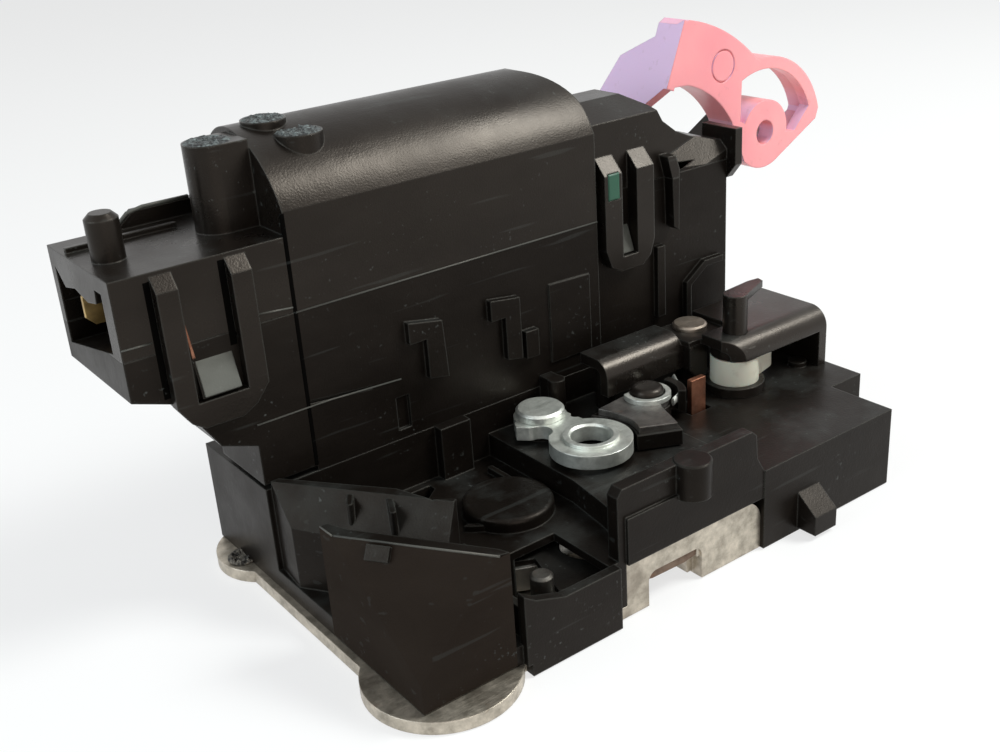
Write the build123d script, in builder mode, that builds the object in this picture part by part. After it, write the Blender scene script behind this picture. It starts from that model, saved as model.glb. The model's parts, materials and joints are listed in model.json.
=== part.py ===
"""Door latch actuator: a striker latch on a zinc-plated face plate, with a motor drive
unit standing on its rear deck.

Frame: millimetres, +Z up. The origin is the axis of the front left fixing hole on the
underside of the face plate. X runs along the drive unit, -Y is the striker's entry side.
"""
from build123d import *
from math import asin, atan2, cos, degrees, hypot, radians, sin
import os

os.makedirs("parts", exist_ok=True)

# ---------------------------------------------------------------- face plate
PLATE_T = 2.5            # sheet thickness
EAR_R = 11.5             # radius of the third fixing ear
EAR_FRONT = ((1.5, 0.2), 14.6)   # centre and radius of the wide front ear
EAR_REAR = ((-1.6, 59.2), 11.2)
EAR_PITCH = 61.0         # front left to rear left fixing hole
THIRD_EAR = (104.0, 36.0)
THREAD_R = 2.5           # core radius of an M6 thread
COLLAR_R = 4.6           # drawn collar round each thread
COLLAR_H = 3.2
PLATE_LEFT = -9.4        # straight left edge between the ears
PLATE_RIGHT = 109.0
PLATE_BACK = 58.0
PLATE_FRONT = -8.0       # outer face of the upstanding flange
FLANGE_LEFT = 38.0
FLANGE_RIGHT = 74.0
FLANGE_H = 11.6
NOTCH_H = 7.2            # height of the striker notch in the flange
SLOT_X = 50.5            # centre line of the striker slot
SLOT_W = 14.0
SLOT_DEPTH = 38.0        # from the flange to the end of the slot

# ---------------------------------------------------------------- claw and pawl
CLAW_PIVOT = (33.0, 21.0)
CLAW_R = 26.5
CLAW_HUB_R = 14.5
CLAW_T = 5.0
CLAW_Z = PLATE_T + 0.7   # underside of claw and pawl
SKIN_T = 1.2             # moulded skin on claw and pawl
MOUTH_W = 12.6           # claw mouth, takes an 11 mm striker
CLAW_OPEN_DEG = -62.0    # claw angle at rest, 0 is latched
ARM_FRONT_DEG = -45.0
ARM_REAR_DEG = 50.0
CLAW_PIN_R = 5.0
RUN = 0.06               # running clearance on every pivot, per side
PAWL_PIVOT = (73.6, 24.1)
PAWL_PIN_R = 4.0
PAWL_HUB_R = 7.5
PAWL_GAP = 0.5           # nose to claw rim at rest
PAWL_NOSE_DEG = -25.0    # where on the claw rim the nose waits
TAB_REACH = 11.4         # pawl tab from the pawl pivot
TAB_DEG = -21.5
TAB_W = 4.2
TAB_T = 1.3
TAB_TOP = 25.3
STOP_R = 2.2             # claw stop pin in the well

# ---------------------------------------------------------------- latch housing
HOUSING_LEFT = -8.0
HOUSING_FRONT = -8.7
HOUSING_BACK = 69.0
HOUSING_RIGHT = 118.3
CHAMBER_TOP = 11.0       # roof of the space round claw and pawl
CHANNEL_Z = 6.5          # floor of the diagonal channel
BASIN_Z = 12.8           # floor of the open basin
DECK_Z = 18.0
REAR_Z = 24.5            # seat of the drive unit
REAR_Y = 42.0            # front of the rear deck
WALL_TOP = 26.0          # tops of the corner block and the second wall
BLOCK_SOFT = 3.5         # rounding between the faces of the corner block
LOW_RIM = 13.0           # rim of the open well
LOW_FRONT = -10.0
DECK_LEFT = 43.0
BLOCK_RIGHT = 113.4
BLOCK_FRONT = -9.0
BLOCK_Z = 17.8
STEP_Y = 7.0             # where the right block widens
STEP_RIGHT = 123.4
STEP_BACK = 40.0
RIDGE_Z = 27.5
RIDGE_T = 2.8
LEDGE_Z = 21.4
LEDGE_Y = -8.7           # front face of the ledge and of the right half of the ridge
RIDGE_BOSS = (54.4, -8.6)
RIDGE_BOSS_R = 3.7

# ---------------------------------------------------------------- deck levers
RELEASE_PIVOT = (52.6, 34.6)
RING_CENTRE = (53.6, 19.4)
RING_R = 8.6
RING_BORE_R = 4.2
LEVER_T = 3.0
LEVER_Z = DECK_Z + 1.2
LEVER_PIN_R = 2.6
CAP_R = 5.2
CAP_T = 1.9
LOCK_Z = DECK_Z + 0.4    # underside of the locking lever's carrier
LOCK_CARRIER_T = 3.3
LOCK_PLATE_T = 1.4
PIN_TOP_R = 2.8          # upper part of the pawl pivot, carries the locking lever
PIN_HEAD_R = 3.6
CAM_AXIS = (98.4, 22.2)
CAM_PIN_R = 2.7
CAM_FLANGE_R = 6.7
CAM_FLANGE_T = 2.2
NYLON_R = 5.4
NYLON_LOBE = (8.8, 2.2)
NYLON_LOBE_R = 3.9
PEG_TOP = 40.2

# ---------------------------------------------------------------- arm bracket
ARM_TOP = 31.4
ARM_T = 2.4
ARM_CLEAR = 0.9          # bracket apron to the head of the pawl pivot
ARM_DROP_L = 7.9         # height of the left apron
ARM_DROP_R = 5.0
ARM_LEFT = 66.5
ARM_RIVET = (95.4, 33.2)
ARM_RIVET_R = 3.9
ARM_MID = ARM_RIVET[0] - ARM_RIVET_R - 2         # end of the rounded left half
ARM_STEP = ARM_MID + 2.5 # start of the wide right half
ARM_RIGHT = 122.5
ARM_FRONT_L = PAWL_PIVOT[1] + PIN_HEAD_R + ARM_CLEAR
ARM_FRONT_R = 16.4
ARM_BACK = 37.4
ARM_SKIRT_L = ARM_TOP - ARM_DROP_L
ARM_SKIRT_R = ARM_TOP - ARM_DROP_R

# ---------------------------------------------------------------- drive unit
UNIT_FRONT = 42.0
UNIT_BACK = 72.0
UNIT_LEFT = 3.4
BARREL_RIGHT = 76.5
UNIT_RIGHT = 118.3
UNIT_WALL = 2.0
UNIT_Z = REAR_Z
LOOP_TOP = 70.6          # top of the right snap's legs
INSERT_X = (78.9, 82.1)  # green insert in the left leg
INSERT_Z = (61.6, 67.4)
SEAM_Z = 57.5
BARREL_TOP = 89.0
BARREL_SPRING_Z = BARREL_TOP - 12.5      # where the barrel starts to curve
BARREL_REAR_Z = BARREL_TOP - 9
RECESS_Y = 44.0          # front wall of the right section
RIGHT_BACK = 60.0
LEG_LEFT = -8.0
SOCKET_LEFT = -29.7
SOCKET_Z = 50.0
SOCKET_TOP = 72.0
SOCKET_DEPTH = 21.0
LOOP_H = 2.2             # how far the snap loops stand proud
FIN_H = 2.8              # fin beside the right snap
TAB_SLAB = 2.1           # upright slab at the right end

MOTOR_R = 10.2
MOTOR_FLAT = 15.6
MOTOR_L = 30.0
MOTOR_X = 9.0
MOTOR_Y = 56.0
MOTOR_Z = BARREL_TOP - 17
SHAFT_R = 1.0
WORM_R = 3.6
WORM_L = 16.0
WHEEL_R = 17.0
WHEEL_T = 6.0
WHEEL_TEETH = 34
WHEEL_GAP = 0.5          # worm crest to wheel rim
SPINDLE_R = 3.0

# ---------------------------------------------------------------- bell crank
CRANK_PIVOT = (142.4, 62.6)      # X and Z of its axis
CRANK_Y = 54.0
CRANK_T = 3.0
CRANK_RIB = 5.0          # depth of the rim behind the web
CRANK_BOSS_R = 8.0
CRANK_BORE_R = 3.0
CRANK_TUBE = 9.0


# ---------------------------------------------------------------- derived places
FIXINGS = [(0.0, 0.0), (0.0, EAR_PITCH), THIRD_EAR]
SLOT_END = PLATE_FRONT + SLOT_DEPTH
SEAT_R = SLOT_X - CLAW_PIVOT[0]          # claw seat lies on the slot's centre line
SKIN_Z = CLAW_Z + CLAW_T
PIN_GAP = 0.02           # fixed pins in their seats
DOME_R = 9.2             # spring dome over the claw pivot
DOME_TOP = 15.6
PIVOT_TOP = 14.8         # claw pivot ends in a blind seat under the dome
CLAW_POCKET_R = 7.4
CLAW_POCKET_TOP = 14.2
PAWL_POCKET_R = 6.5
PAWL_POCKET_TOP = 16.0
SCREW_R = 3.2            # clearance for the tips of the fixing screws
SCREW_TOP = 14.0
WHEEL_X = 51.0
WHEEL_Z = MOTOR_Z - WORM_R - WHEEL_GAP - WHEEL_R
CAM_LOBE_R = 11.0
COVER_SPLIT = 62.4       # seam height of the right section
LABEL_Z = BARREL_TOP - 8 # flat field beside the barrel
COLUMN_TOP = BARREL_TOP - 0.8
CONNECTOR_IN = SOCKET_LEFT + SOCKET_DEPTH


# ================================================================ helpers
def front_plane(y):
    """Plane facing -Y at the given depth; its own x and y are the part's X and Z."""
    return Plane.XZ.offset(-y)


def side_plane(x):
    """Plane facing +X at the given place; its own x and y are the part's Y and Z."""
    return Plane.YZ.offset(x)


def polar(centre, radius, angle):
    """Point at a radius and an angle in degrees from a centre."""
    return (centre[0] + radius * cos(radians(angle)), centre[1] + radius * sin(radians(angle)))


def turned_plane(centre, z, angle):
    """Horizontal plane with its origin at a pivot and its x axis turned by an angle."""
    return Plane(origin=(*centre, z), x_dir=(cos(radians(angle)), sin(radians(angle)), 0),
                 z_dir=(0, 0, 1))


def area(x0, x1, y0, y1, mode=Mode.ADD):
    """Rectangle given by its edges, in the sketch that is being drawn."""
    with Locations(((x0 + x1) / 2, (y0 + y1) / 2)):
        Rectangle(x1 - x0, y1 - y0, mode=mode)


def shape(*points, mode=Mode.ADD):
    """Straight-sided face through the points, in the sketch that is being drawn."""
    Polygon(*points, align=None, mode=mode)


def disc(centre, radius, mode=Mode.ADD):
    """Round face, in the sketch that is being drawn."""
    with Locations(centre):
        Circle(radius, mode=mode)


def strip(start, end, width, mode=Mode.ADD):
    """Straight band with round ends, in the sketch that is being drawn."""
    middle = ((start[0] + end[0]) / 2, (start[1] + end[1]) / 2, 0)
    length = hypot(end[0] - start[0], end[1] - start[1])
    turn = degrees(atan2(end[1] - start[1], end[0] - start[0]))
    with Locations(Location(middle, (0, 0, turn))):
        SlotCenterToCenter(length, width, mode=mode)


def plate_outline(mode=Mode.ADD):
    """Outline of the flat face plate with its three ears."""
    shape((PLATE_LEFT, 0), (PLATE_LEFT, EAR_PITCH), (8, EAR_PITCH + 5), (22, PLATE_BACK),
          (PLATE_RIGHT - 9, PLATE_BACK), (PLATE_RIGHT, PLATE_BACK - 10), (PLATE_RIGHT, -5),
          (FLANGE_RIGHT, -5), (FLANGE_RIGHT, PLATE_FRONT), (0, PLATE_FRONT), mode=mode)
    disc(*EAR_FRONT, mode)
    disc(*EAR_REAR, mode)
    disc(THIRD_EAR, EAR_R, mode)


def slot_outline(width, mode=Mode.SUBTRACT):
    """Striker slot, open to the front, round at its inner end."""
    inner = SLOT_END - SLOT_W / 2
    area(SLOT_X - width / 2, SLOT_X + width / 2, BLOCK_FRONT - 4, inner, mode=mode)
    disc((SLOT_X, inner), width / 2, mode=mode)


def claw_outline(inset=0.0):
    """Claw in its own frame: two arms round a hub, the mouth opening along its x axis."""
    far = 3 * CLAW_R
    disc((0, 0), CLAW_R - inset)
    shape((0, 0), polar((0, 0), far, ARM_FRONT_DEG), (far, 0), polar((0, 0), far, ARM_REAR_DEG),
          mode=Mode.INTERSECT)
    disc((0, 0), CLAW_HUB_R - inset)
    strip((SEAT_R, 0), (far, 0), MOUTH_W + 2 * inset, mode=Mode.SUBTRACT)


def pawl_frame(z):
    """Plane on the pawl pivot with its x axis towards the resting place of the nose."""
    return turned_plane(PAWL_PIVOT, z, NOSE_DEG)


def pawl_outline(inset=0.0):
    """Pawl in its own frame: hub, nose arm with a hooked tip, short tail to the tab."""
    shape((0, -6 + inset), (NOSE_L - 6, 0.5 + inset), (NOSE_L - inset, inset),
          (NOSE_L + 2.5 - inset, 4.5), (NOSE_L - 2, 7 - inset), (0, 6.5 - inset))
    disc((0, 0), PAWL_HUB_R - inset)


def sheet_angle(front, back, bottom, top, radius):
    """Section of a bent sheet: apron at the front, rounded edge, flat top."""
    area(front + radius, back, bottom, top)
    area(front, front + radius, bottom, top - radius)
    disc((front + radius, top - radius), radius)
    area(front + radius, back + 1, bottom - 1, top - ARM_T, mode=Mode.SUBTRACT)
    area(front + ARM_T, front + radius, bottom - 1, top - radius, mode=Mode.SUBTRACT)
    disc((front + radius, top - radius), radius - ARM_T, mode=Mode.SUBTRACT)
    area(front, back, bottom, top, mode=Mode.INTERSECT)


def write(part, label):
    """Label a finished piece and write it as a STEP file."""
    part.label = label
    export_step(part, f"parts/{label}.step")


NOSE_AT = polar(CLAW_PIVOT, CLAW_R + PAWL_GAP, PAWL_NOSE_DEG)
NOSE_DEG = degrees(atan2(NOSE_AT[1] - PAWL_PIVOT[1], NOSE_AT[0] - PAWL_PIVOT[0]))
NOSE_L = hypot(NOSE_AT[0] - PAWL_PIVOT[0], NOSE_AT[1] - PAWL_PIVOT[1])
TAB_AT = polar(PAWL_PIVOT, TAB_REACH, TAB_DEG)
STOP_GAP = 0.3           # claw flank to stop pin at rest
STOP_REACH = CLAW_R - STOP_R - STOP_GAP
STOP_AT = polar(CLAW_PIVOT, STOP_REACH, CLAW_OPEN_DEG + ARM_FRONT_DEG
                - degrees(asin((STOP_R + STOP_GAP) / STOP_REACH)))
STOP_TENON_R = 1.5


# ================================================================ latch half
# L-shaped steel plate: ears, drawn threads, striker slot, flange and rolled lip
with BuildPart() as face_plate:
    with BuildSketch():
        plate_outline()
        slot_outline(SLOT_W)
        with Locations(*FIXINGS):
            Circle(THREAD_R, mode=Mode.SUBTRACT)
        disc(CLAW_PIVOT, CLAW_PIN_R + PIN_GAP, mode=Mode.SUBTRACT)
        disc(PAWL_PIVOT, PAWL_PIN_R + PIN_GAP, mode=Mode.SUBTRACT)
        disc(STOP_AT, STOP_TENON_R + PIN_GAP, mode=Mode.SUBTRACT)
    extrude(amount=PLATE_T)
    with BuildSketch(Plane.XY.offset(PLATE_T)):
        with Locations(*FIXINGS):
            Circle(COLLAR_R)
            Circle(THREAD_R, mode=Mode.SUBTRACT)
    extrude(amount=COLLAR_H)
    with BuildSketch(front_plane(PLATE_FRONT)):
        area(FLANGE_LEFT, FLANGE_RIGHT - 5, 0, FLANGE_H)
        area(FLANGE_LEFT, FLANGE_RIGHT, 0, FLANGE_H - 5)
        disc((FLANGE_RIGHT - 5, FLANGE_H - 5), 5)
        area(SLOT_X - SLOT_W / 2, SLOT_X + SLOT_W / 2, -1, NOTCH_H - 2, mode=Mode.SUBTRACT)
        strip((SLOT_X - SLOT_W / 2 + 2, NOTCH_H - 2), (SLOT_X + SLOT_W / 2 - 2, NOTCH_H - 2), 4,
              mode=Mode.SUBTRACT)
    extrude(amount=-PLATE_T)
    with BuildSketch(front_plane(PLATE_FRONT + PLATE_T)):
        shape((SLOT_X, NOTCH_H + 0.8), (SLOT_X + 7.8, NOTCH_H + 0.8), (SLOT_X + 7.8, 0.6),
              (SLOT_X + 5.5, 0.6), (SLOT_X + 4.9, 4.6), (SLOT_X, 5.8))
    extrude(amount=-5)

# Claw: steel core that takes the striker, moulded skin on top of it
with BuildPart() as claw:
    with BuildSketch(turned_plane(CLAW_PIVOT, CLAW_Z, CLAW_OPEN_DEG)):
        claw_outline()
        Circle(CLAW_PIN_R + RUN, mode=Mode.SUBTRACT)
    extrude(amount=CLAW_T)

with BuildPart() as claw_skin:
    with BuildSketch(turned_plane(CLAW_PIVOT, SKIN_Z, CLAW_OPEN_DEG)):
        claw_outline(0.8)
        Circle(CLAW_PIN_R + 1.2, mode=Mode.SUBTRACT)
    extrude(amount=SKIN_T)

with BuildPart() as claw_pivot:
    with BuildSketch():
        disc(CLAW_PIVOT, CLAW_PIN_R)
    extrude(amount=CHAMBER_TOP)
    with BuildSketch():
        disc(CLAW_PIVOT, CLAW_PIN_R - 1)
    extrude(amount=PIVOT_TOP)

with BuildPart() as claw_spring:
    with BuildLine():
        coil = Helix(pitch=1.2, height=1.8, radius=6.3,
                     center=(*CLAW_PIVOT, CHAMBER_TOP + 0.65))
    with BuildSketch(Plane(origin=coil @ 0, z_dir=coil % 0)):
        Circle(0.45)
    sweep(path=coil, is_frenet=True)

# Pawl: steel core with the tab that stands up through the deck, moulded skin
with BuildPart() as pawl:
    with BuildSketch(pawl_frame(CLAW_Z)):
        pawl_outline()
        Circle(PAWL_PIN_R + RUN, mode=Mode.SUBTRACT)
    extrude(amount=CLAW_T)
    with BuildSketch(turned_plane(PAWL_PIVOT, CLAW_Z, TAB_DEG)):
        area(PAWL_PIN_R + 1, TAB_REACH + 2.2, -3.5, 3.5)
    extrude(amount=CLAW_T)
    with BuildSketch(Plane.XY.offset(SKIN_Z)):
        area(TAB_AT[0] - TAB_W / 2, TAB_AT[0] + TAB_W / 2, TAB_AT[1] - TAB_T / 2,
             TAB_AT[1] + TAB_T / 2)
    extrude(amount=TAB_TOP - SKIN_Z)

with BuildPart() as pawl_skin:
    with BuildSketch(pawl_frame(SKIN_Z)):
        pawl_outline(0.8)
        Circle(PAWL_PIN_R + 1.2, mode=Mode.SUBTRACT)
    extrude(amount=SKIN_T)

with BuildPart() as pawl_pivot:
    with BuildSketch():
        disc(PAWL_PIVOT, PAWL_PIN_R)
    extrude(amount=CHAMBER_TOP)
    with BuildSketch():
        disc(PAWL_PIVOT, PIN_TOP_R)
    extrude(amount=LOCK_Z + LOCK_CARRIER_T + LOCK_PLATE_T + 0.6)

with BuildPart() as pawl_cap:
    with BuildSketch(Plane.XY.offset(LOCK_Z + LOCK_CARRIER_T + LOCK_PLATE_T + 0.6)):
        disc(PAWL_PIVOT, PIN_HEAD_R)
    extrude(amount=1.9)
    fillet(pawl_cap.edges().group_by(Axis.Z)[-1], 1.2)

with BuildPart() as pawl_spring:
    with BuildLine():
        coil = Helix(pitch=1.3, height=3.2, radius=5.2,
                     center=(*PAWL_PIVOT, CHAMBER_TOP + 0.7))
    with BuildSketch(Plane(origin=coil @ 0, z_dir=coil % 0)):
        Circle(0.5)
    sweep(path=coil, is_frenet=True)

with BuildPart() as stop_pin:
    with BuildSketch():
        disc(STOP_AT, STOP_TENON_R)
    extrude(amount=PLATE_T)
    with BuildSketch(Plane.XY.offset(PLATE_T)):
        disc(STOP_AT, STOP_R)
    extrude(amount=BASIN_Z - PLATE_T)
    chamfer(stop_pin.edges().group_by(Axis.Z)[-1], 0.5)

# Housing: moulded body over the plate, with walls, channel, well, decks and ridge
BLOCK_LEFT_TOP = (-7.0, 14.9, WALL_TOP)
BLOCK_RIGHT_TOP = (8.9, -7.8, WALL_TOP)
BLOCK_FOOT = (HOUSING_LEFT, HOUSING_FRONT, 8.5)
block_edge = Vector(*BLOCK_RIGHT_TOP) - Vector(*BLOCK_LEFT_TOP)
block_lean = Vector(*BLOCK_FOOT) - Vector(*BLOCK_LEFT_TOP)
BLOCK_FACE = Plane(origin=BLOCK_LEFT_TOP, x_dir=block_edge, z_dir=block_lean.cross(block_edge))
WALL_FACE = Plane(origin=(-6.8, REAR_Y, WALL_TOP), x_dir=block_edge, z_dir=BLOCK_FACE.z_dir)

# corner block: its sloping outer face runs softly into the two upright sides
with BuildPart() as corner_block:
    with BuildSketch(Plane.XY.offset(PLATE_T)):
        shape((HOUSING_LEFT, HOUSING_FRONT), (11.6, HOUSING_FRONT), (10.9, -6.6),
              (-4.7, 16.4), (-6.4, 20.9), (HOUSING_LEFT, 20.9))
    extrude(amount=WALL_TOP - PLATE_T)
    with BuildSketch(BLOCK_FACE):
        Rectangle(90, 90)
    extrude(amount=30, mode=Mode.SUBTRACT)
    fillet(corner_block.edges().filter_by(
        lambda edge: (Vector(*BLOCK_FOOT) - edge @ 0).length < 0.01
        or (Vector(*BLOCK_FOOT) - edge @ 1).length < 0.01), BLOCK_SOFT)
    with BuildSketch(BLOCK_FACE):
        area(5.2, 9.6, -3.4, -0.6)
    extrude(amount=1.1)

# second wall along the channel, leaning the same way, with its small ribs
with BuildPart() as channel_wall:
    with BuildSketch(Plane.XY.offset(CHANNEL_Z)):
        shape((-6.8, REAR_Y), (-7.6, 34), (0.5, 21.5), (4.2, 13), (10.6, 8.6), (15.4, 12.2),
              (12, 15), (9.4, 23), (-5, REAR_Y))
    extrude(amount=WALL_TOP - CHANNEL_Z)
    with BuildSketch(WALL_FACE):
        Rectangle(120, 90)
    extrude(amount=30, mode=Mode.SUBTRACT)
    with BuildSketch(Plane.XY.offset(CHANNEL_Z)):
        strip((2.6, 28.4), (0.6, 25.2), 1.1)
        strip((7.4, 22.6), (5, 17.4), 1.2)
    extrude(amount=WALL_TOP - CHANNEL_Z - 0.6)

with BuildPart() as latch_housing:
    # skirts in front of and beside the plate
    with BuildSketch():
        area(FLANGE_RIGHT, BLOCK_RIGHT, BLOCK_FRONT, STEP_Y)
        area(FLANGE_RIGHT, STEP_RIGHT, STEP_Y, STEP_BACK)
        plate_outline(mode=Mode.SUBTRACT)
    extrude(amount=PLATE_T)
    # floor over the whole plate
    with BuildSketch(Plane.XY.offset(PLATE_T)):
        shape((HOUSING_LEFT, HOUSING_FRONT), (13, HOUSING_FRONT), (13, PLATE_FRONT),
              (FLANGE_RIGHT, PLATE_FRONT), (FLANGE_RIGHT, BLOCK_FRONT),
              (BLOCK_RIGHT, BLOCK_FRONT), (BLOCK_RIGHT, STEP_Y), (STEP_RIGHT, STEP_Y),
              (STEP_RIGHT, STEP_BACK), (HOUSING_RIGHT, REAR_Y), (HOUSING_RIGHT, HOUSING_BACK),
              (HOUSING_LEFT, HOUSING_BACK))
    extrude(amount=CHANNEL_Z - PLATE_T)
    # basin floor
    with BuildSketch(Plane.XY.offset(CHANNEL_Z)):
        shape((-6.8, REAR_Y), (7.7, 22.3), (10.4, 13.8), (14.1, 10.8), (14.1, PLATE_FRONT),
              (DECK_LEFT + 2, PLATE_FRONT), (DECK_LEFT + 2, REAR_Y))
    extrude(amount=BASIN_Z - CHANNEL_Z)
    # deck under the levers and the right block
    with BuildSketch(Plane.XY.offset(CHANNEL_Z)):
        shape((DECK_LEFT + 1.1, REAR_Y), (DECK_LEFT + 1.1, 14.2), (DECK_LEFT - 0.4, 4.5),
              (DECK_LEFT - 1.3, 0), (DECK_LEFT - 1.3, PLATE_FRONT), (FLANGE_RIGHT, PLATE_FRONT),
              (FLANGE_RIGHT, REAR_Y))
    extrude(amount=DECK_Z - CHANNEL_Z)
    with BuildSketch(Plane.XY.offset(CHANNEL_Z)):
        area(FLANGE_RIGHT, BLOCK_RIGHT, BLOCK_FRONT, STEP_Y)
        area(FLANGE_RIGHT, STEP_RIGHT, STEP_Y, STEP_BACK)
        area(FLANGE_RIGHT, HOUSING_RIGHT, STEP_BACK, REAR_Y)
    extrude(amount=BLOCK_Z - CHANNEL_Z)
    # rear deck under the drive unit
    with BuildSketch(Plane.XY.offset(CHANNEL_Z)):
        area(HOUSING_LEFT, HOUSING_RIGHT, REAR_Y, HOUSING_BACK)
    extrude(amount=REAR_Z - CHANNEL_Z)
    add(corner_block.part)
    add(channel_wall.part)
    # low front wall with its rising left end
    with BuildSketch(front_plane(LOW_FRONT)):
        shape((13, PLATE_T), (14, PLATE_T), (14, 0), (35, 0), (35, LOW_RIM), (22, LOW_RIM),
              (15.5, 15.2), (13, 17))
    extrude(amount=LOW_FRONT - PLATE_FRONT)
    # ledge above the flange, ridge set back on its left half, flush on its right half
    with BuildSketch(front_plane(PLATE_FRONT)):
        shape((36.2, BASIN_Z), (36.2, 26), (37.4, RIDGE_Z), (58, RIDGE_Z), (58, BASIN_Z))
    extrude(amount=-RIDGE_T)
    with BuildSketch(front_plane(LEDGE_Y)):
        shape((57, DECK_Z), (57, RIDGE_Z), (70.4, RIDGE_Z), (71.6, 26.4), (72.3, DECK_Z))
    extrude(amount=-RIDGE_T)
    with BuildSketch(Plane.XY.offset(LEDGE_Z - 1)):
        disc(RIDGE_BOSS, RIDGE_BOSS_R)
    extrude(amount=RIDGE_Z + 0.3 - LEDGE_Z + 1)
    chamfer(latch_housing.edges().filter_by(GeomType.CIRCLE).filter_by(
        lambda edge: abs(edge.radius - RIDGE_BOSS_R) < 0.01
        and edge.center().Z > RIDGE_Z + 0.29), 0.25)
    with BuildSketch(front_plane(LEDGE_Y)):
        shape((FLANGE_LEFT, FLANGE_H), (FLANGE_LEFT, LEDGE_Z), (57.5, LEDGE_Z),
              (71.9, LEDGE_Z), (FLANGE_RIGHT, DECK_Z - 0.2), (FLANGE_RIGHT, FLANGE_H))
    extrude(amount=LEDGE_Y - PLATE_FRONT)
    # wedge clip low on the front of the right block
    with BuildSketch(side_plane(84)):
        shape((BLOCK_FRONT, 9), (BLOCK_FRONT - 4.8, 5), (BLOCK_FRONT - 4.8, 0.8),
              (BLOCK_FRONT, 0.8))
    extrude(amount=6.4)
    # concentric ribs and the spring dome on the basin floor
    with BuildSketch(Plane.XY.offset(BASIN_Z)):
        disc(CLAW_PIVOT, DOME_R)
    extrude(amount=DOME_TOP - BASIN_Z)
    fillet(latch_housing.edges().filter_by(GeomType.CIRCLE).filter_by(
        lambda edge: abs(edge.radius - DOME_R) < 0.01 and edge.center().Z > DOME_TOP - 0.01), 1)
    with BuildSketch(Plane.XY.offset(BASIN_Z)):
        disc((33, 31), 16)
        disc((33, 31), 15, mode=Mode.SUBTRACT)
        area(15.5, 33, 14, 20, mode=Mode.INTERSECT)
        area(39, 40.2, 20, 36)
        area(17, 18, 8, 15)
    extrude(amount=1.4)
    # posts: rib under the drive unit, spacers of the arm bracket, lever washer, cap guard
    with BuildSketch(Plane.XY.offset(BASIN_Z)):
        area(30.7, 38.1, REAR_Y - 2.4, REAR_Y)
    extrude(amount=REAR_Z - BASIN_Z)
    with BuildSketch(Plane.XY.offset(BLOCK_Z - 1)):
        disc(ARM_RIVET, 3.2)
    extrude(amount=ARM_TOP - ARM_T - BLOCK_Z + 1)
    with BuildSketch(Plane.XY.offset(DECK_Z - 1)):
        disc((71.2, 34.9), 2.2)
    extrude(amount=ARM_TOP - ARM_T - DECK_Z + 1)
    with BuildSketch(Plane.XY.offset(DECK_Z)):
        disc(RELEASE_PIVOT, CAP_R - 0.8)
    extrude(amount=LEVER_Z - DECK_Z - RUN)
    with BuildSketch(Plane.XY.offset(DECK_Z)):
        disc((60.2, 38.2), 1.9)
        area(58.6, 61.8, 38.2, REAR_Y)
    extrude(amount=9)
    with BuildSketch(Plane.XY.offset(BLOCK_Z)):
        disc((117.4, 20.3), 2.1)
    extrude(amount=1.2)
    # space round claw and pawl, striker slot, open well
    with BuildSketch(Plane.XY.offset(PLATE_T)):
        disc(CLAW_PIVOT, CLAW_R + 1.3)
        shape(CLAW_PIVOT, polar(CLAW_PIVOT, 80, CLAW_OPEN_DEG + ARM_FRONT_DEG - 8),
              polar(CLAW_PIVOT, 80, -40), polar(CLAW_PIVOT, 80, ARM_REAR_DEG + 6),
              mode=Mode.INTERSECT)
        disc(CLAW_PIVOT, CLAW_HUB_R + 1.1)
        disc(PAWL_PIVOT, TAB_REACH + 3.6)
        shape((54, -2), (66, -2), (72, 9.4), (68, 14), (54, 14))
    extrude(amount=CHAMBER_TOP - PLATE_T, mode=Mode.SUBTRACT)
    with BuildSketch(Plane.XY.offset(PLATE_T)):
        slot_outline(SLOT_W + 2.2, mode=Mode.ADD)
    extrude(amount=CHAMBER_TOP - PLATE_T, mode=Mode.SUBTRACT)
    with BuildSketch(Plane.XY.offset(PLATE_T)):
        area(15.5, 34, PLATE_FRONT, 8)
    extrude(amount=BASIN_Z - PLATE_T, mode=Mode.SUBTRACT)
    # seat of the flange
    with BuildSketch(Plane.XY.offset(PLATE_T)):
        area(FLANGE_LEFT, FLANGE_RIGHT, PLATE_FRONT - 1, PLATE_FRONT + PLATE_T)
    extrude(amount=FLANGE_H - PLATE_T, mode=Mode.SUBTRACT)
    # pit in the basin, pocket beside the right post
    with BuildSketch(Plane.XY.offset(8)):
        shape((16.4, 33.2), (16.4, 40), (27, 40), (27, 38.2), (21.5, 34))
    extrude(amount=BASIN_Z - 8, mode=Mode.SUBTRACT)
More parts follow.
